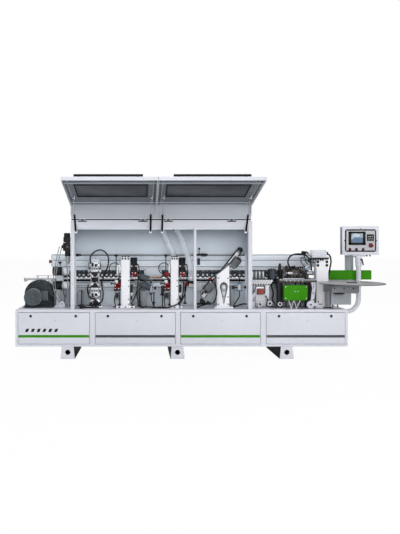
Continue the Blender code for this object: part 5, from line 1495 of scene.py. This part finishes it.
def glue_details():
    brown, dark, light, blue, bolts = Shape(), Shape(), Shape(), Shape(), Shape()
    brown.block((1.262, -0.205, 0.945), (1.300, -0.170, 1.010), 0.006)
    brown.block((1.545, -0.180, 0.946), (1.590, -0.050, 1.020), 0.008)
    brown.block((1.380, -0.200, 1.020), (1.520, -0.160, 1.070), 0.008)
    brown.rod((1.450, -0.110, 1.058), (1.450, -0.110, 1.100), 0.036, 0.004, 28)
    brown.rod((1.265, -0.150, 1.060), (1.300, -0.150, 1.060), 0.022, 0.003, 22)
    brown.make("glue_pot_fittings", BASE, "glue_brown")
    for index in range(7):
        place = 1.285 + index * 0.036
        dark.rod((place, -0.197, 0.962), (place, -0.197, 0.998 + 0.010 * (index % 2)), 0.009, 0.002, 14)
        bolts.bolt((place, -0.190, 1.008 + 0.012 * (index % 3)), -Y, 0.005, 0.005)
    dark.block((1.240, -0.130, 0.945), (1.262, -0.040, 1.120), 0.006)
    dark.rod((1.252, -0.090, 1.118), (1.252, -0.090, 1.140), 0.013, 0.002, 18)
    dark.rod((1.330, -0.105, 1.088), (1.330, -0.105, 1.112), 0.014, 0.003, 18)
    dark.rod((1.380, -0.080, 1.062), (1.520, -0.080, 1.062), 0.011, 0.002, 16)
    dark.block((1.528, -0.212, 0.950), (1.556, -0.176, 1.040), 0.005)
    dark.rod((1.470, -0.210, 1.040), (1.530, -0.210, 1.000), 0.010, 0.002, 14)
    star_knob(dark, (1.405, -0.120, 1.090), Z, 0.017, 0.018)
    star_knob(dark, (1.500, -0.120, 1.082), Z, 0.015, 0.018)
    for index in range(5):
        place = 1.300 + index * 0.050
        dark.block((place - 0.012, -0.218, 0.962), (place + 0.010, -0.196, 0.985 + 0.018 * (index % 2)), 0.004)
        dark.rod((place + 0.020, -0.150, 1.050), (place + 0.020, -0.150, 1.092 + 0.012 * (index % 3)), 0.009, 0.002, 16)
    dark.block((1.300, -0.200, 1.040), (1.370, -0.178, 1.075), 0.006)
    dark.block((1.540, -0.185, 1.020), (1.566, -0.110, 1.060), 0.005)
    dark.make("glue_pot_valves", BASE, "black_plastic")
    light.rod((1.565, -0.140, 1.020), (1.650, -0.140, 1.020), 0.024, 0.003, 26)
    light.rod((1.560, -0.110, 1.075), (1.610, -0.110, 1.115), 0.017, 0.003, 22)
    light.block((1.300, -0.215, 1.010), (1.380, -0.198, 1.036), 0.003)
    light.block((1.260, -0.222, 0.950), (1.525, -0.208, 0.960), 0.002)
    light.make("glue_cylinders", BASE, "aluminium")
    blue.rod((1.556, -0.140, 1.020), (1.570, -0.140, 1.020), 0.027, 0.003, 24)
    blue.rod((1.640, -0.140, 1.020), (1.656, -0.140, 1.020), 0.027, 0.003, 24)
    blue.block((1.548, -0.126, 1.060), (1.574, -0.094, 1.092), 0.005)
    blue.make("glue_cylinder_ends", BASE, "blue_plastic")
    for place in (1.235, 1.655):
        for depth in (-0.215, 0.020):
            bolts.bolt((place, depth, 0.945), Z, 0.008, 0.007)
    for place in (1.300, 1.350, 1.400, 1.450, 1.500):
        bolts.bolt((place, -0.231, 0.928), -Y, 0.005, 0.004)
    bolts.make("glue_bolts", BASE, "steel")
    loops = Shape()
    loops.cable([(1.440, -0.120, 1.075), (1.375, -0.130, 1.085), (1.340, -0.140, 1.160), (1.372, -0.140, 1.232),
                 (1.450, -0.140, 1.258), (1.540, -0.135, 1.250), (1.605, -0.130, 1.200), (1.632, -0.125, 1.120),
                 (1.640, -0.120, 1.050)], 0.0095, 10)
    loops.cable([(1.560, -0.110, 1.095), (1.510, -0.120, 1.160), (1.520, -0.120, 1.215), (1.570, -0.120, 1.160),
                 (1.600, -0.115, 1.110)], 0.005, 8)
    loops.cable([(1.340, -0.200, 0.990), (1.310, -0.235, 1.030), (1.360, -0.235, 1.075), (1.460, -0.225, 1.060),
                 (1.520, -0.210, 1.040)], 0.006, 8)
    loops.make("glue_cables", BASE, "cable_black")
    legs, under = Shape(), Shape()
    legs.plate([(1.598, 0.910), (1.652, 0.910), (1.652, 0.840), (1.634, 0.700), (1.634, 0.640), (1.590, 0.640),
                (1.590, 0.690), (1.612, 0.840)], "Y", -0.262, -0.240, 0.003)
    legs.turned((1.590, -0.238, 0.640), -Y, [(0, 0), (0, 0.046), (0.004, 0.048), (0.028, 0.048), (0.032, 0.044),
                                           (0.032, 0)], 32)
    legs.rod((1.655, -0.240, 0.640), (1.655, -0.270, 0.640), 0.022, 0.003, 24)
    legs.make("glue_lever_arm", BASE, "white_paint")
    under.turned((1.590, -0.2705, 0.640), -Y, [(0, 0), (0, 0.010), (0.006, 0.010), (0.006, 0)], 18)
    for height in (0.700, 0.780, 0.860, 0.890):
        under.bolt((1.622 + (0.004 if height > 0.8 else 0), -0.262, height), -Y, 0.006, 0.004)
    under.block((1.225, -0.235, 0.885), (1.250, -0.180, 0.910), 0.004)
    under.rod((1.655, -0.200, 0.600), (1.655, -0.200, 0.905), 0.012, 0.002, 18)
    under.block((1.560, -0.180, 0.594), (1.600, -0.060, 0.905), 0.006)
    under.make("glue_lever_bolts", BASE, "black_plastic")
    bars = Shape()
    for place in (1.320, 1.440, 1.500):
        bars.rod((place, -0.120, 0.600), (place, -0.120, 0.905), 0.010, 0.002, 16)
    bars.block((1.270, -0.160, 0.660), (1.540, -0.060, 0.860), 0.008)
    bars.make("glue_drive_box", BASE, "glue_brown")
    guard_low, guard_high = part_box("glue_cover")
    cover, stand = Shape(), Shape()
    cover.block((guard_low.x, guard_low.y, 0.702), (guard_high.x, guard_high.y, guard_high.z), 0.012)
    cover.block((guard_low.x + 0.014, guard_low.y + 0.010, 0.694), (guard_high.x - 0.014, guard_high.y - 0.010, 0.706),
                0.003)
    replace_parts(cover.make("glue_cover_shell", BASE, "green_paint"), "glue_cover")
    for foot, tops in ((1.342, (1.311, 1.380)), (1.403, (1.380, 1.465))):
        for top in tops:
            stand.rod((foot, -0.300, 0.596), (top, -0.290, 0.712), 0.0045, 0.001, 14)
        stand.rod((foot, -0.300, 0.593), (foot, -0.300, 0.600), 0.010, 0.002, 18)
    stand.make("glue_cover_legs", BASE, "white_paint")
    rim = Shape()
    rim.block((1.217, -0.234, 0.9345), (1.674, -0.2295, 0.9445), 0.001)
    rim.block((1.217, -0.2285, 0.9452), (1.674, -0.2050, 0.9468), 0.0005)
    rim.make("glue_table_edge", BASE, "light_grey")
    trims = Shape()
    for place in (1.385, 1.420):
        trims.rod((place, guard_low.y - 0.002, 0.806), (place, guard_low.y + 0.003, 0.806), 0.006, 0.001, 16)
    for place in (guard_low.x + 0.018, guard_high.x - 0.018):
        for height in (0.722, 0.862):
            trims.bolt((place, guard_low.y, height), -Y, 0.005, 0.003)
    trims.make("glue_cover_screws", BASE, "steel")


def infeed_details():
    low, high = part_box("lift_gearbox")
    column_low, column_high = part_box("infeed_column")
    face = column_low.y + 0.015
    top = column_high.z
    collar, bits, light = Shape(), Shape(), Shape()
    collar.block((low.x + 0.008, face - 0.024, top - 0.020), (column_high.x, face, top - 0.0005), 0.003)
    for index in range(7):
        place = low.x + 0.020 + index * 0.029
        collar.rod((place, face - 0.020, top - 0.034), (place, face - 0.020, top + 0.001), 0.0095, 0.002, 14)
    collar.rod((low.x + 0.004, -0.100, 1.268), (low.x - 0.010, -0.100, 1.268), 0.024, 0.004, 26)
    collar.finned((low.x - 0.010, -0.100, 1.268), (low.x - 0.048, -0.100, 1.268), 0.027, 0.009, 0.003, 26)
    collar.rod((1.820, -0.110, 1.272), (1.846, -0.110, 1.272), 0.007, 0.001, 14)
    star_knob(collar, (1.838, -0.110, 1.272), X, 0.012, 0.012)
    collar.make("lift_collar", BASE, "black_plastic")
    lid_right = 1.820
    light.block((1.644, low.y + 0.010, low.z + 0.018), (lid_right - 0.008, low.y + 0.017, high.z - 0.010), 0.003)
    light.block((1.648, low.y + 0.027, high.z - 0.001), (lid_right - 0.012, high.y - 0.027, high.z + 0.004), 0.002)
    light.make("lift_gearbox_lids", BASE, "white_paint")
    foot_side = Shape()
    foot_side.block((1.760, -0.1595, 0.5925), (1.8375, -0.0405, 0.9305), 0.003)
    # painted light: the column side uses the brighter copy of the white paint
    foot_side.make("infeed_column_side", BASE, "bright_paint")
    for place in (1.708, 1.820):
        for height in (1.160, 1.118):
            bits.turned((place, face, height), -Y,
                        [(0, 0), (0, 0.017), (0.007, 0.016), (0.007, 0.008), (0.003, 0.007), (0.003, 0)], 24)
    for place, height in ((1.712, 0.665), (1.728, 0.634), (1.748, 0.634)):
        bits.bolt((place, face, height), -Y, 0.006, 0.005)
    bits.make("infeed_column_bolts", BASE, "black_plastic")
    lines = Shape()
    for place in (1.656, lid_right - 0.020):
        for height in (low.z + 0.028, high.z - 0.020):
            lines.bolt((place, low.y + 0.010, height), -Y, 0.005, 0.004)
    lines.make("lift_gearbox_screws", BASE, "steel")
    cable = Shape()
    cable.cable([(1.816, -0.080, 1.255), (1.872, -0.085, 1.245), (1.892, -0.090, 1.170), (1.874, -0.100, 1.070),
                 (1.856, -0.110, 0.990), (1.848, -0.110, 0.945)], 0.010, 10)
    cable.cable([(1.600, -0.120, 1.262), (1.560, -0.160, 1.285), (1.540, -0.150, 1.230), (1.590, -0.140, 1.170),
                 (1.680, -0.120, 1.150)], 0.0075, 10)
    cable.make("infeed_cable", BASE, "cable_black")
    fence_low, fence_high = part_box("infeed_fence")
    fence, bolts, post = Shape(), Shape(), Shape()
    fence.block((1.896, 0.0, 0.930), (fence_high.x, 0.046, 1.048), 0.004)
    fence.block((1.902, 0.044, 0.944), (fence_high.x - 0.006, 0.050, 1.034), 0.002)
    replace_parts(fence.make("fence_bar", BASE, "green_paint"), "infeed_fence")
    post.block((1.856, 0.012, 0.884), (2.250, 0.040, 0.930), 0.004)
    post.block((2.150, 0.050, 0.886), (2.222, 0.150, 0.9205), 0.004)
    for place in (1.930, 2.120, 2.250, 2.400):
        bolts.bolt((place, 0.050, 0.990), Y, 0.007, 0.005)
    foot = 0.9205
    tall = fence_high.z - foot
    post.turned((2.186, 0.108, foot), Z,
                [(0, 0), (0, 0.056), (0.010, 0.058), (0.012, 0.0525), (tall - 0.025, 0.0525), (tall - 0.023, 0.056),
                 (tall - 0.008, 0.056), (tall, 0.048), (tall, 0)], 40)
    post.block((2.130, 0.052, 0.930), (2.242, 0.062, 1.040), 0.004)
    post.make("fence_guide_post", BASE, "light_grey")
    bolts.make("fence_bolts", BASE, "steel")
    wear = Shape()
    for height in (0.933, 1.035):
        wear.block((1.900, -0.0035, height), (fence_high.x - 0.004, 0.0005, height + 0.0085), 0.0012)
    wear.make("fence_wear_strips", BASE, "green_paint")


def tape_station_details():
    disc_low, disc_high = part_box("tape_disc")
    centre = (disc_low + disc_high) / 2
    disc_r = (disc_high.x - disc_low.x) / 2
    top = disc_high.z - 0.020
    hub, band, screws = Shape(), Shape(), Shape()
    hub.turned((centre.x, centre.y, top + 0.0005), Z,
               [(0, 0), (0, 0.062), (0.004, 0.064), (0.008, 0.060), (0.008, 0.030), (0.018, 0.026),
                (0.020, 0.018), (0.020, 0)], 40)
    hub.turned((centre.x, centre.y, top - 0.013), -Z, [(0, 0), (0, 0.080), (0.006, 0.080), (0.007, 0.060), (0.007, 0)], 40)
    hub.make("disc_hub", "tape_disc", "black_plastic")
    band.ring((centre.x, centre.y, top - 0.006), Z, disc_r - 0.0005, 0.0058, 96, 8)
    band.make("disc_edge_band", "tape_disc", "liner_and_shade_paint")
    for index in range(5):
        turn = 2 * pi * index / 5
        screws.bolt((centre.x + 0.045 * cos(turn), centre.y + 0.045 * sin(turn), top + 0.0085), Z, 0.005, 0.003)
    screws.make("disc_screws", "tape_disc", "steel")
    stand_low, stand_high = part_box("tape_table_stand")
    arm_low, arm_top = stand_high.z - 0.077, stand_high.z
    box_left, box_right, box_low, box_face = 1.830, 2.067, 0.648, -0.300
    box, bolts, housing = Shape(), Shape(), Shape()
    box.block((box_left - 0.004, box_face - 0.010, box_low - 0.004), (box_right + 0.004, box_face + 0.006, arm_low), 0.006)
    box.make("junction_box_lid", BASE, "light_grey")
    for place in (box_left + 0.010, box_right - 0.010):
        for height in (box_low + 0.012, arm_low - 0.020):
            bolts.bolt((place, box_face - 0.010, height), -Y, 0.005, 0.004)
    bolts.make("junction_box_screws", BASE, "steel")
    housing.block((1.965, -0.548, arm_low - 0.012), (2.060, -0.316, arm_low + 0.012), 0.006)
    housing.block((1.756, -0.380, arm_low - 0.012), (1.850, -0.216, arm_low + 0.010), 0.010)
    housing.make("tape_arm_housing", BASE, "grey_paint")
    glands = Shape()
    for place in (1.790, 1.900, 2.010):
        glands.bolt((place, -0.560, (arm_low + arm_top) / 2 + 0.012), -Y, 0.007, 0.005)
    for height in (0.690, 0.735, 0.780):
        glands.rod((box_right, -0.235, height), (box_right + 0.022, -0.235, height), 0.012, 0.003, 18)
    glands.turned((1.873, -0.460, arm_low + 0.004), -Z,
                  [(0, 0), (0, 0.070), (0.020, 0.066), (0.036, 0.052), (0.040, 0.030), (0.040, 0)], 32)
    glands.turned((1.800, -0.270, 0.594), Z, [(0, 0), (0, 0.052), (0.012, 0.052), (0.020, 0.036), (0.020, 0)], 28)
    glands.make("junction_box_glands", BASE, "black_plastic")
    cables = Shape()
    for start in (1.900, 1.960):
        cables.cable([(start, -0.200, 0.735), (start, -0.140, 0.728), (start + 0.006, -0.115, 0.690),
                      (start + 0.010, -0.110, 0.597)], 0.008, 10)
    cables.make("junction_box_cables", BASE, "cable_black")


# ================================================================ control station
def rounded_frame(left, right, bottom, top, corner, inset):
    """Outline of a rectangle with round corners, drawn in by inset."""
    points = []
    for across, up, start in ((right - corner, top - corner, 0), (left + corner, top - corner, 90),
                              (left + corner, bottom + corner, 180), (right - corner, bottom + corner, 270)):
        points += arc((across, up), corner - inset, start, start + 90, 6)
    return points


def console_face(body, face):
    """The front of the control box: framed plate, screen, temperature controller and buttons."""
    left, right, bottom, top = 2.064, 2.456, 1.284, 1.567
    border, panel, dark, glass = Shape(), Shape(), Shape(), Shape()
    border.plate(rounded_frame(left, right, bottom, top, 0.022, 0.0), "Y", face - 0.0022, face + 0.002, 0.0006)
    for place in (left, right):
        border.rod((place, face + 0.002, (bottom + top) / 2), (place, face - 0.0022, (bottom + top) / 2), 0.009)
    border.rod(((left + right) / 2, face + 0.002, top), ((left + right) / 2, face - 0.0022, top), 0.009)
    border.make("console_border", body, "black_steel")
    panel.plate(rounded_frame(left, right, bottom, top, 0.024, 0.0175), "Y", face - 0.0045, face + 0.001, 0.0006)
    panel.make("console_panel", body, "console_grey")
    s_low, s_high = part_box("touch_screen")
    dark.block((s_low.x, s_low.y - 0.001, s_low.z), (s_high.x, face - 0.003, s_high.z), 0.004)
    edge_x, edge_top, edge_bottom = 0.034, 0.024, 0.030
    for x0, x1, z0, z1 in ((s_low.x, s_high.x, s_high.z - edge_top, s_high.z),
                           (s_low.x, s_high.x, s_low.z, s_low.z + edge_bottom),
                           (s_low.x, s_low.x + edge_x, s_low.z, s_high.z),
                           (s_high.x - edge_x, s_high.x, s_low.z, s_high.z)):
        dark.block((x0, s_low.y - 0.005, z0), (x1, s_low.y + 0.002, z1), 0.002)
    meter_left, meter_right, meter_low, meter_high = 2.338, 2.424, 1.422, 1.504
    dark.block((meter_left, face - 0.011, meter_low), (meter_right, face - 0.002, meter_high), 0.003)
    for level in (meter_low + 0.004, meter_high - 0.010):
        dark.block((meter_left + 0.004, face - 0.014, level), (meter_right - 0.004, face - 0.009, level + 0.006), 0.001)
    dark.make("console_bezels", body, "black_steel")
    glass.block((s_low.x + 0.014, s_low.y - 0.0025, s_low.z + 0.016), (s_high.x - 0.014, s_low.y, s_high.z - 0.016),
                0.0008)
    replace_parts(glass.make("touch_screen_glass", body, "screen_glass"), "touch_screen")
    digits, keys = Shape(), Shape()
    for index in range(3):
        place = meter_left + 0.018 + index * 0.020
        for level, tall in ((1.470, 0.013), (1.450, 0.007)):
            digits.block((place, face - 0.0125, level), (place + 0.011, face - 0.010, level + tall), 0.0006)
    digits.make("controller_segments", body, "console_grey")
    for index in range(4):
        place = meter_left + 0.015 + index * 0.018
        keys.rod((place, face - 0.0145, 1.437), (place, face - 0.010, 1.437), 0.0055, 0.001, 14)
    keys.make("controller_keys", body, "grey_paint")
    screws = Shape()
    for place in (left + 0.014, (left + right) / 2, right - 0.014):
        for height in (bottom + 0.012, top - 0.012):
            screws.bolt((place, face - 0.0045, height), -Y, 0.0035, 0.002)
    screws.make("console_screws", body, "steel")


def console_buttons(body, face):
    """Emergency stop and push buttons with their collars."""
    e_low, e_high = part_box("emergency_stop")
    centre = (e_low + e_high) / 2
    stop, collar, rings, third = Shape(), Shape(), Shape(), Shape()
    stop.turned((centre.x, face - 0.011, centre.z), -Y,
                [(0, 0), (0, 0.012), (0.006, 0.012), (0.008, 0.022), (0.012, 0.0245), (0.020, 0.0245), (0.025, 0.021),
                 (0.027, 0.012), (0.027, 0)], 36)
    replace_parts(stop.make("stop_mushroom", "emergency_stop", "red_plastic"), "emergency_stop")
    collar.turned((centre.x, face - 0.003, centre.z), -Y,
                  [(0, 0.014), (0, 0.029), (0.003, 0.029), (0.005, 0.026), (0.005, 0.0145), (0, 0.014)], 32)
    collar.make("stop_collar", body, "stripe_grey")
    level = 1.315
    for name in ("start_button", "stop_button"):
        b_low, b_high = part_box(name)
        spot = (b_low + b_high) / 2
        cap = Shape()
        cap.turned((spot.x, face + 0.006, spot.z), -Y,
                   [(0, 0), (0, 0.0095), (0.014, 0.0095), (0.0165, 0.0085), (0.0175, 0.007), (0.0165, 0.004),
                    (0.0165, 0)], 28)
        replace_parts(cap.make(f"{name}_cap", name, "red_plastic"), name)
    for place in (2.124, 2.206, 2.290):
        rings.turned((place, face - 0.004, level), -Y,
                     [(0, 0.0105), (0, 0.0185), (0.004, 0.0180), (0.006, 0.0160), (0.006, 0.0110), (0, 0.0105)], 28)
    rings.make("button_rings", body, "black_plastic")
    third.turned((2.290, face - 0.003, level), -Y, [(0, 0), (0, 0.0095), (0.007, 0.0095), (0.009, 0.007), (0.009, 0)],
                 28)
    third.make("third_button", body, "red_plastic")


def console_back(body, low, high):
    """Rear door with hinges, lock and vents, a grey plate on the low-X side as painted shade, and the bracket on the
    arm.
    """
    rear, hinges, vent, side_shade = Shape(), Shape(), Shape(), Shape()
    rear.block((low.x + 0.020, high.y - 0.002, low.z + 0.020), (high.x - 0.020, high.y + 0.004, high.z - 0.020), 0.003)
    rear.block((low.x + 0.012, low.y + 0.012, high.z - 0.002), (high.x - 0.012, high.y - 0.010, high.z + 0.002), 0.002)
    rear.make("console_rear_door", body, "white_paint")
    # painted shade: a grey plate darkens the box's low-X side
    side_shade.block((low.x - 0.0025, low.y + 0.010, low.z + 0.010), (low.x + 0.002, high.y - 0.006, high.z - 0.010),
                     0.002)
    side_shade.make("console_side_painted_shade", body, "grey_paint")
    for height in (low.z + 0.065, high.z - 0.065):
        hinges.rod((low.x + 0.014, high.y + 0.006, height - 0.022), (low.x + 0.014, high.y + 0.006, height + 0.022),
                   0.0065, 0.001, 14)
    hinges.turned((high.x - 0.045, high.y + 0.004, (low.z + high.z) / 2), Y,
                  [(0, 0), (0, 0.014), (0.004, 0.014), (0.004, 0.006), (0.002, 0.005), (0.002, 0)], 20)
    hinges.make("console_door_hinges", body, "black_plastic")
    for row in range(5):
        level = low.z + 0.050 + row * 0.016
        vent.block((2.150, high.y + 0.003, level), (2.350, high.y + 0.0055, level + 0.005), 0.001)
    vent.make("console_door_vents", body, "chain_pads")
    clamp, lever = Shape(), Shape()
    under = low.z
    arm_x, arm_y = 2.255, -0.040
    clamp.block((2.168, -0.075, under - 0.018), (2.340, -0.018, under + 0.001), 0.004)
    clamp.block((arm_x - 0.040, -0.080, under - 0.042), (arm_x + 0.040, 0.000, under - 0.016), 0.006)
    clamp.rod((arm_x, arm_y, under - 0.104), (arm_x, arm_y, under - 0.040), 0.041, 0.004, 36)
    clamp.make("console_bracket", body, "white_paint")
    for place in (2.180, 2.205, 2.310, 2.330):
        lever.bolt((place, arm_y, under - 0.018), -Z, 0.005, 0.006)
    lever.rod((2.285, -0.080, under - 0.062), (2.262, -0.068, under - 0.057), 0.011, 0.002, 16)
    lever.rod((2.283, -0.086, under - 0.052), (2.296, -0.092, under - 0.130), 0.0065, 0.002, 14, 0.009)
    for place in (2.190, 2.360, 2.400):
        lever.rod((place, arm_y, under), (place, arm_y, under - 0.022), 0.009, 0.002, 16)
    lever.make("console_clamp_lever", body, "black_plastic")


def control_details():
    """Everything on the control box and its arm."""
    body = "control_box"
    low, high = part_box(body)
    console_face(body, low.y)
    console_buttons(body, low.y)
    console_back(body, low, high)
    arm, ties, lead = Shape(), Shape(), Shape()
    arm_x, arm_y, flange_z = 2.255, -0.040, 0.530
    arm.rod((arm_x, arm_y, low.z - 0.150), (arm_x, arm_y, low.z - 0.107), 0.038, 0.004, 36)
    arm.make("arm_collar", BASE, "white_paint")
    for dy in (-0.044, 0.044):
        for dz in (-0.044, 0.044):
            ties.bolt((2.008, arm_y + dy, flange_z + dz), X, 0.006, 0.006)
    ties.make("arm_flange_bolts", BASE, "steel")
    lead.cable([(2.264, 0.000, low.z - 0.140), (2.268, 0.004, 1.070), (2.262, 0.000, 0.980), (2.262, 0.000, 0.700),
                (2.230, 0.000, 0.590), (2.130, 0.004, 0.535), (2.006, 0.006, 0.535)], 0.0075, 10)
    lead.make("console_cable", BASE, "cable_black")


# ================================================================ gas struts and rear side
def strut_details():
    for number in range(1, 5):
        foot = Vector((-1.275, -0.390, 1.541))
        foot.x = (-1.275, -0.374, -0.235, 0.776)[number - 1]
        tip = Vector((foot.x, -0.670, 1.914))
        ahead = (tip - foot).normalized()
        ends = Shape()
        ends.rod(foot + ahead * 0.000, foot + ahead * 0.016, 0.0075, 0.001, 16)
        ends.turned(foot + ahead * 0.010, ahead, [(0, 0.0107), (0, 0.0116), (0.010, 0.0122), (0.012, 0.0118),
                                                 (0.012, 0.0107), (0, 0.0107)], 24)
        ends.turned(foot + ahead * 0.022, ahead, [(0, 0.0107), (0, 0.0122), (0.212, 0.0122), (0.214, 0.0115),
                                                 (0.214, 0.0107), (0, 0.0107)], 24)
        ends.make(f"strut_sleeve_{number}", f"strut_tube_{number}", "black_steel")
        bracket = Shape()
        bracket.block((foot.x - 0.014, foot.y + 0.008, foot.z - 0.026), (foot.x + 0.014, foot.y + 0.028, foot.z + 0.026), 0.003)
        bracket.rod((foot.x - 0.012, foot.y, foot.z), (foot.x + 0.014, foot.y, foot.z), 0.004, 0.001, 12)
        # painted light: the strut foot uses the brighter copy of the white paint
        bracket.make(f"strut_foot_{number}", BASE, "bright_paint")
        head = Shape()
        head.rod(tip - ahead * 0.020, tip - ahead * 0.004, 0.0065, 0.001, 16)
        head.make(f"strut_head_{number}", f"strut_rod_{number}", "black_plastic")


def rear_details():
    """Cable duct, electrical cabinet, air inlet and exhaust duct behind the machine."""
    duct, lid, dark, bolts = Shape(), Shape(), Shape(), Shape()
    duct.block((-1.55, 0.330, 0.592), (1.45, 0.385, 0.660), 0.004)
    duct.make("rear_cable_duct", BASE, "grey_paint")
    for index in range(12):
        place = -1.50 + index * 0.25
        lid.block((place, 0.3845, 0.600), (place + 0.235, 0.3875, 0.652), 0.001)
    lid.make("rear_duct_lids", BASE, "grey_paint")
    unit = Shape()
    unit.block((0.30, 0.345, 0.20), (0.90, 0.4025, 0.54), 0.004)
    unit.make("electrical_door_frame", BASE, "white_paint")
    for place in (-1.10, -0.10, 0.95):
        dark.turned((place, 0.404, 0.480), Y, [(0, 0), (0, 0.018), (0.004, 0.018), (0.006, 0.014), (0.006, 0)], 24)
    dark.block((1.20, 0.403, 0.420), (1.28, 0.416, 0.500), 0.005)
    dark.rod((1.24, 0.414, 0.460), (1.24, 0.428, 0.460), 0.022, 0.003, 24)
    dark.make("rear_locks", BASE, "black_plastic")
    exhaust, rings = Shape(), Shape()
    for place in (-1.058, -0.578, 0.023):
        exhaust.rod((place, 0.300, 0.580), (place, 0.300, 0.700), 0.050, 0.003, 36)
        rings.ring((place, 0.300, 0.680), Z, 0.051, 0.004, 36, 8)
        rings.ring((place, 0.300, 0.640), Z, 0.051, 0.004, 36, 8)
    exhaust.make("exhaust_stubs", BASE, "aluminium")
    rings.make("exhaust_clips", BASE, "steel")
    top = Shape()
    low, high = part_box("hood_frame")
    for left, right in ((low.x + 0.05, -0.35), (-0.25, high.x - 0.05)):
        top.block((left, -0.300, high.z - 0.003), (right, -0.100, high.z + 0.0035), 0.003)
    top.make("roof_covers", BASE, "white_paint")
    for left, right in ((low.x + 0.05, -0.35), (-0.25, high.x - 0.05)):
        for place in (left + 0.03, right - 0.03):
            for depth in (-0.280, -0.120):
                bolts.bolt((place, depth, high.z + 0.0035), Z, 0.006, 0.003)
    bolts.make("roof_screws", BASE, "steel")
    panel = Shape()
    for left, right in ((-1.25, -0.30), (-0.20, 0.76)):
        panel.block((left, -0.0415, 1.330), (right, -0.0365, 1.600), 0.002)
    panel.make("rear_hood_covers", BASE, "white_paint")


# ================================================================ camera, light and floor
def floor_paint():
    """Pale sweep: soft shadows close to the machine, plain white where it meets the background."""
    n = Nodes("floor_paint")
    n.set(Base_Color=n.ramp(n.noise(1.5), ((0.3, 0.90), (0.7, 0.93))), Roughness=0.8, Specular_IOR_Level=0.1)
    glow = n.add("Emission")
    rays = n.add("LightPath")
    share = n.add("Math", operation="MULTIPLY")
    share.inputs[1].default_value = 0.965
    n.link(rays.outputs["Is Camera Ray"], share.inputs[0])
    both = n.add("MixShader")
    n.link(share.outputs["Value"], both.inputs["Fac"])
    n.link(n.shader.outputs["BSDF"], both.inputs[1])
    n.link(glow.outputs["Emission"], both.inputs[2])
    n.link(both.outputs["Shader"], n.tree.nodes["Material Output"].inputs["Surface"])
    return n.material


def studio():
    floor = Shape()
    floor.block((-40, -30, -0.05), (40, 40, 0.0), 0)
    data = bpy.data.meshes.new("floor")
    floor.bm.to_mesh(data)
    floor.bm.free()
    pale = floor_paint()
    data.materials.append(pale)
    ground = bpy.data.objects.new("floor", data)
    bpy.context.scene.collection.objects.link(ground)
    world = bpy.data.worlds.new("studio")
    world.use_nodes = True
    tree = world.node_tree
    soft = tree.nodes["Background"]
    soft.inputs["Color"].default_value = (0.93, 0.95, 1.0, 1.0)
    soft.inputs["Strength"].default_value = AMBIENT
    backdrop = tree.nodes.new("ShaderNodeBackground")
    backdrop.inputs["Color"].default_value = (1.0, 1.0, 1.0, 1.0)
    rays = tree.nodes.new("ShaderNodeLightPath")
    either = tree.nodes.new("ShaderNodeMixShader")
    tree.links.new(rays.outputs["Is Camera Ray"], either.inputs["Fac"])
    tree.links.new(soft.outputs["Background"], either.inputs[1])
    tree.links.new(backdrop.outputs["Background"], either.inputs[2])
    tree.links.new(either.outputs["Shader"], tree.nodes["World Output"].inputs["Surface"])
    bpy.context.scene.world = world
    for name, place, aim, size, power in LAMPS:
        lamp = bpy.data.lights.new(name, "AREA")
        lamp.size = size
        lamp.energy = power
        holder = bpy.data.objects.new(name, lamp)
        holder.location = place
        holder.rotation_euler = (Vector(aim) - Vector(place)).to_track_quat("-Z", "Y").to_euler()
        bpy.context.scene.collection.objects.link(holder)
    bpy.context.scene.view_settings.view_transform = "Standard"


AMBIENT = 0.41
LAMPS = (("key", (-4.0, -7.0, 6.0), (0, 0, 0.9), 3.5, 150),
         ("fill", (5.5, -6.5, 3.5), (0, 0, 0.9), 4.0, 110),
         ("front", (0.6, -9.0, 2.2), (0, 0, 1.0), 5.0, 230),
         ("top", (0.0, 1.0, 6.5), (0, 0, 0.9), 5.0, 190),
         ("rear", (1.0, 7.0, 4.5), (0, 0, 0.9), 4.0, 190))


def camera():
    """A level camera square to the machine, whose picture is shifted towards the infeed end."""
    eye = Vector((-0.477, -7.7, 1.42))
    data = bpy.data.cameras.new("camera")
    data.sensor_width = 36.0
    data.lens = 40.92
    holder = bpy.data.objects.new("camera", data)
    holder.location = eye
    holder.rotation_euler = (radians(90), 0, 0)
    bpy.context.scene.collection.objects.link(holder)
    bpy.context.scene.camera = holder
    for channel, shift in (("shift_x", 0.1086), ("shift_y", -0.0487)):
        driver = data.driver_add(channel).driver
        driver.type = "SCRIPTED"
        near = driver.variables.new()
        near.name = "depth"
        near.type = "SINGLE_PROP"
        near.targets[0].id = holder
        near.targets[0].data_path = "location[1]"
        driver.expression = f"{shift} if depth > {eye.y - 0.001} and depth < {eye.y + 0.001} else 0.0"


front_panel_details()
base_details()
hood_details()
frame_details()
feed_details()
pressure_beam_details()
support_details()
gearmotor_details()
buffing_details()
air_unit_details()
scraping_details()
trimming_details(1)
trimming_details(2)
middle_details()
dust_hoses()
end_trimming_details()
pressing_details()
glue_details()
infeed_details()
tape_station_details()
control_details()
strut_details()
rear_details()
studio()
camera()
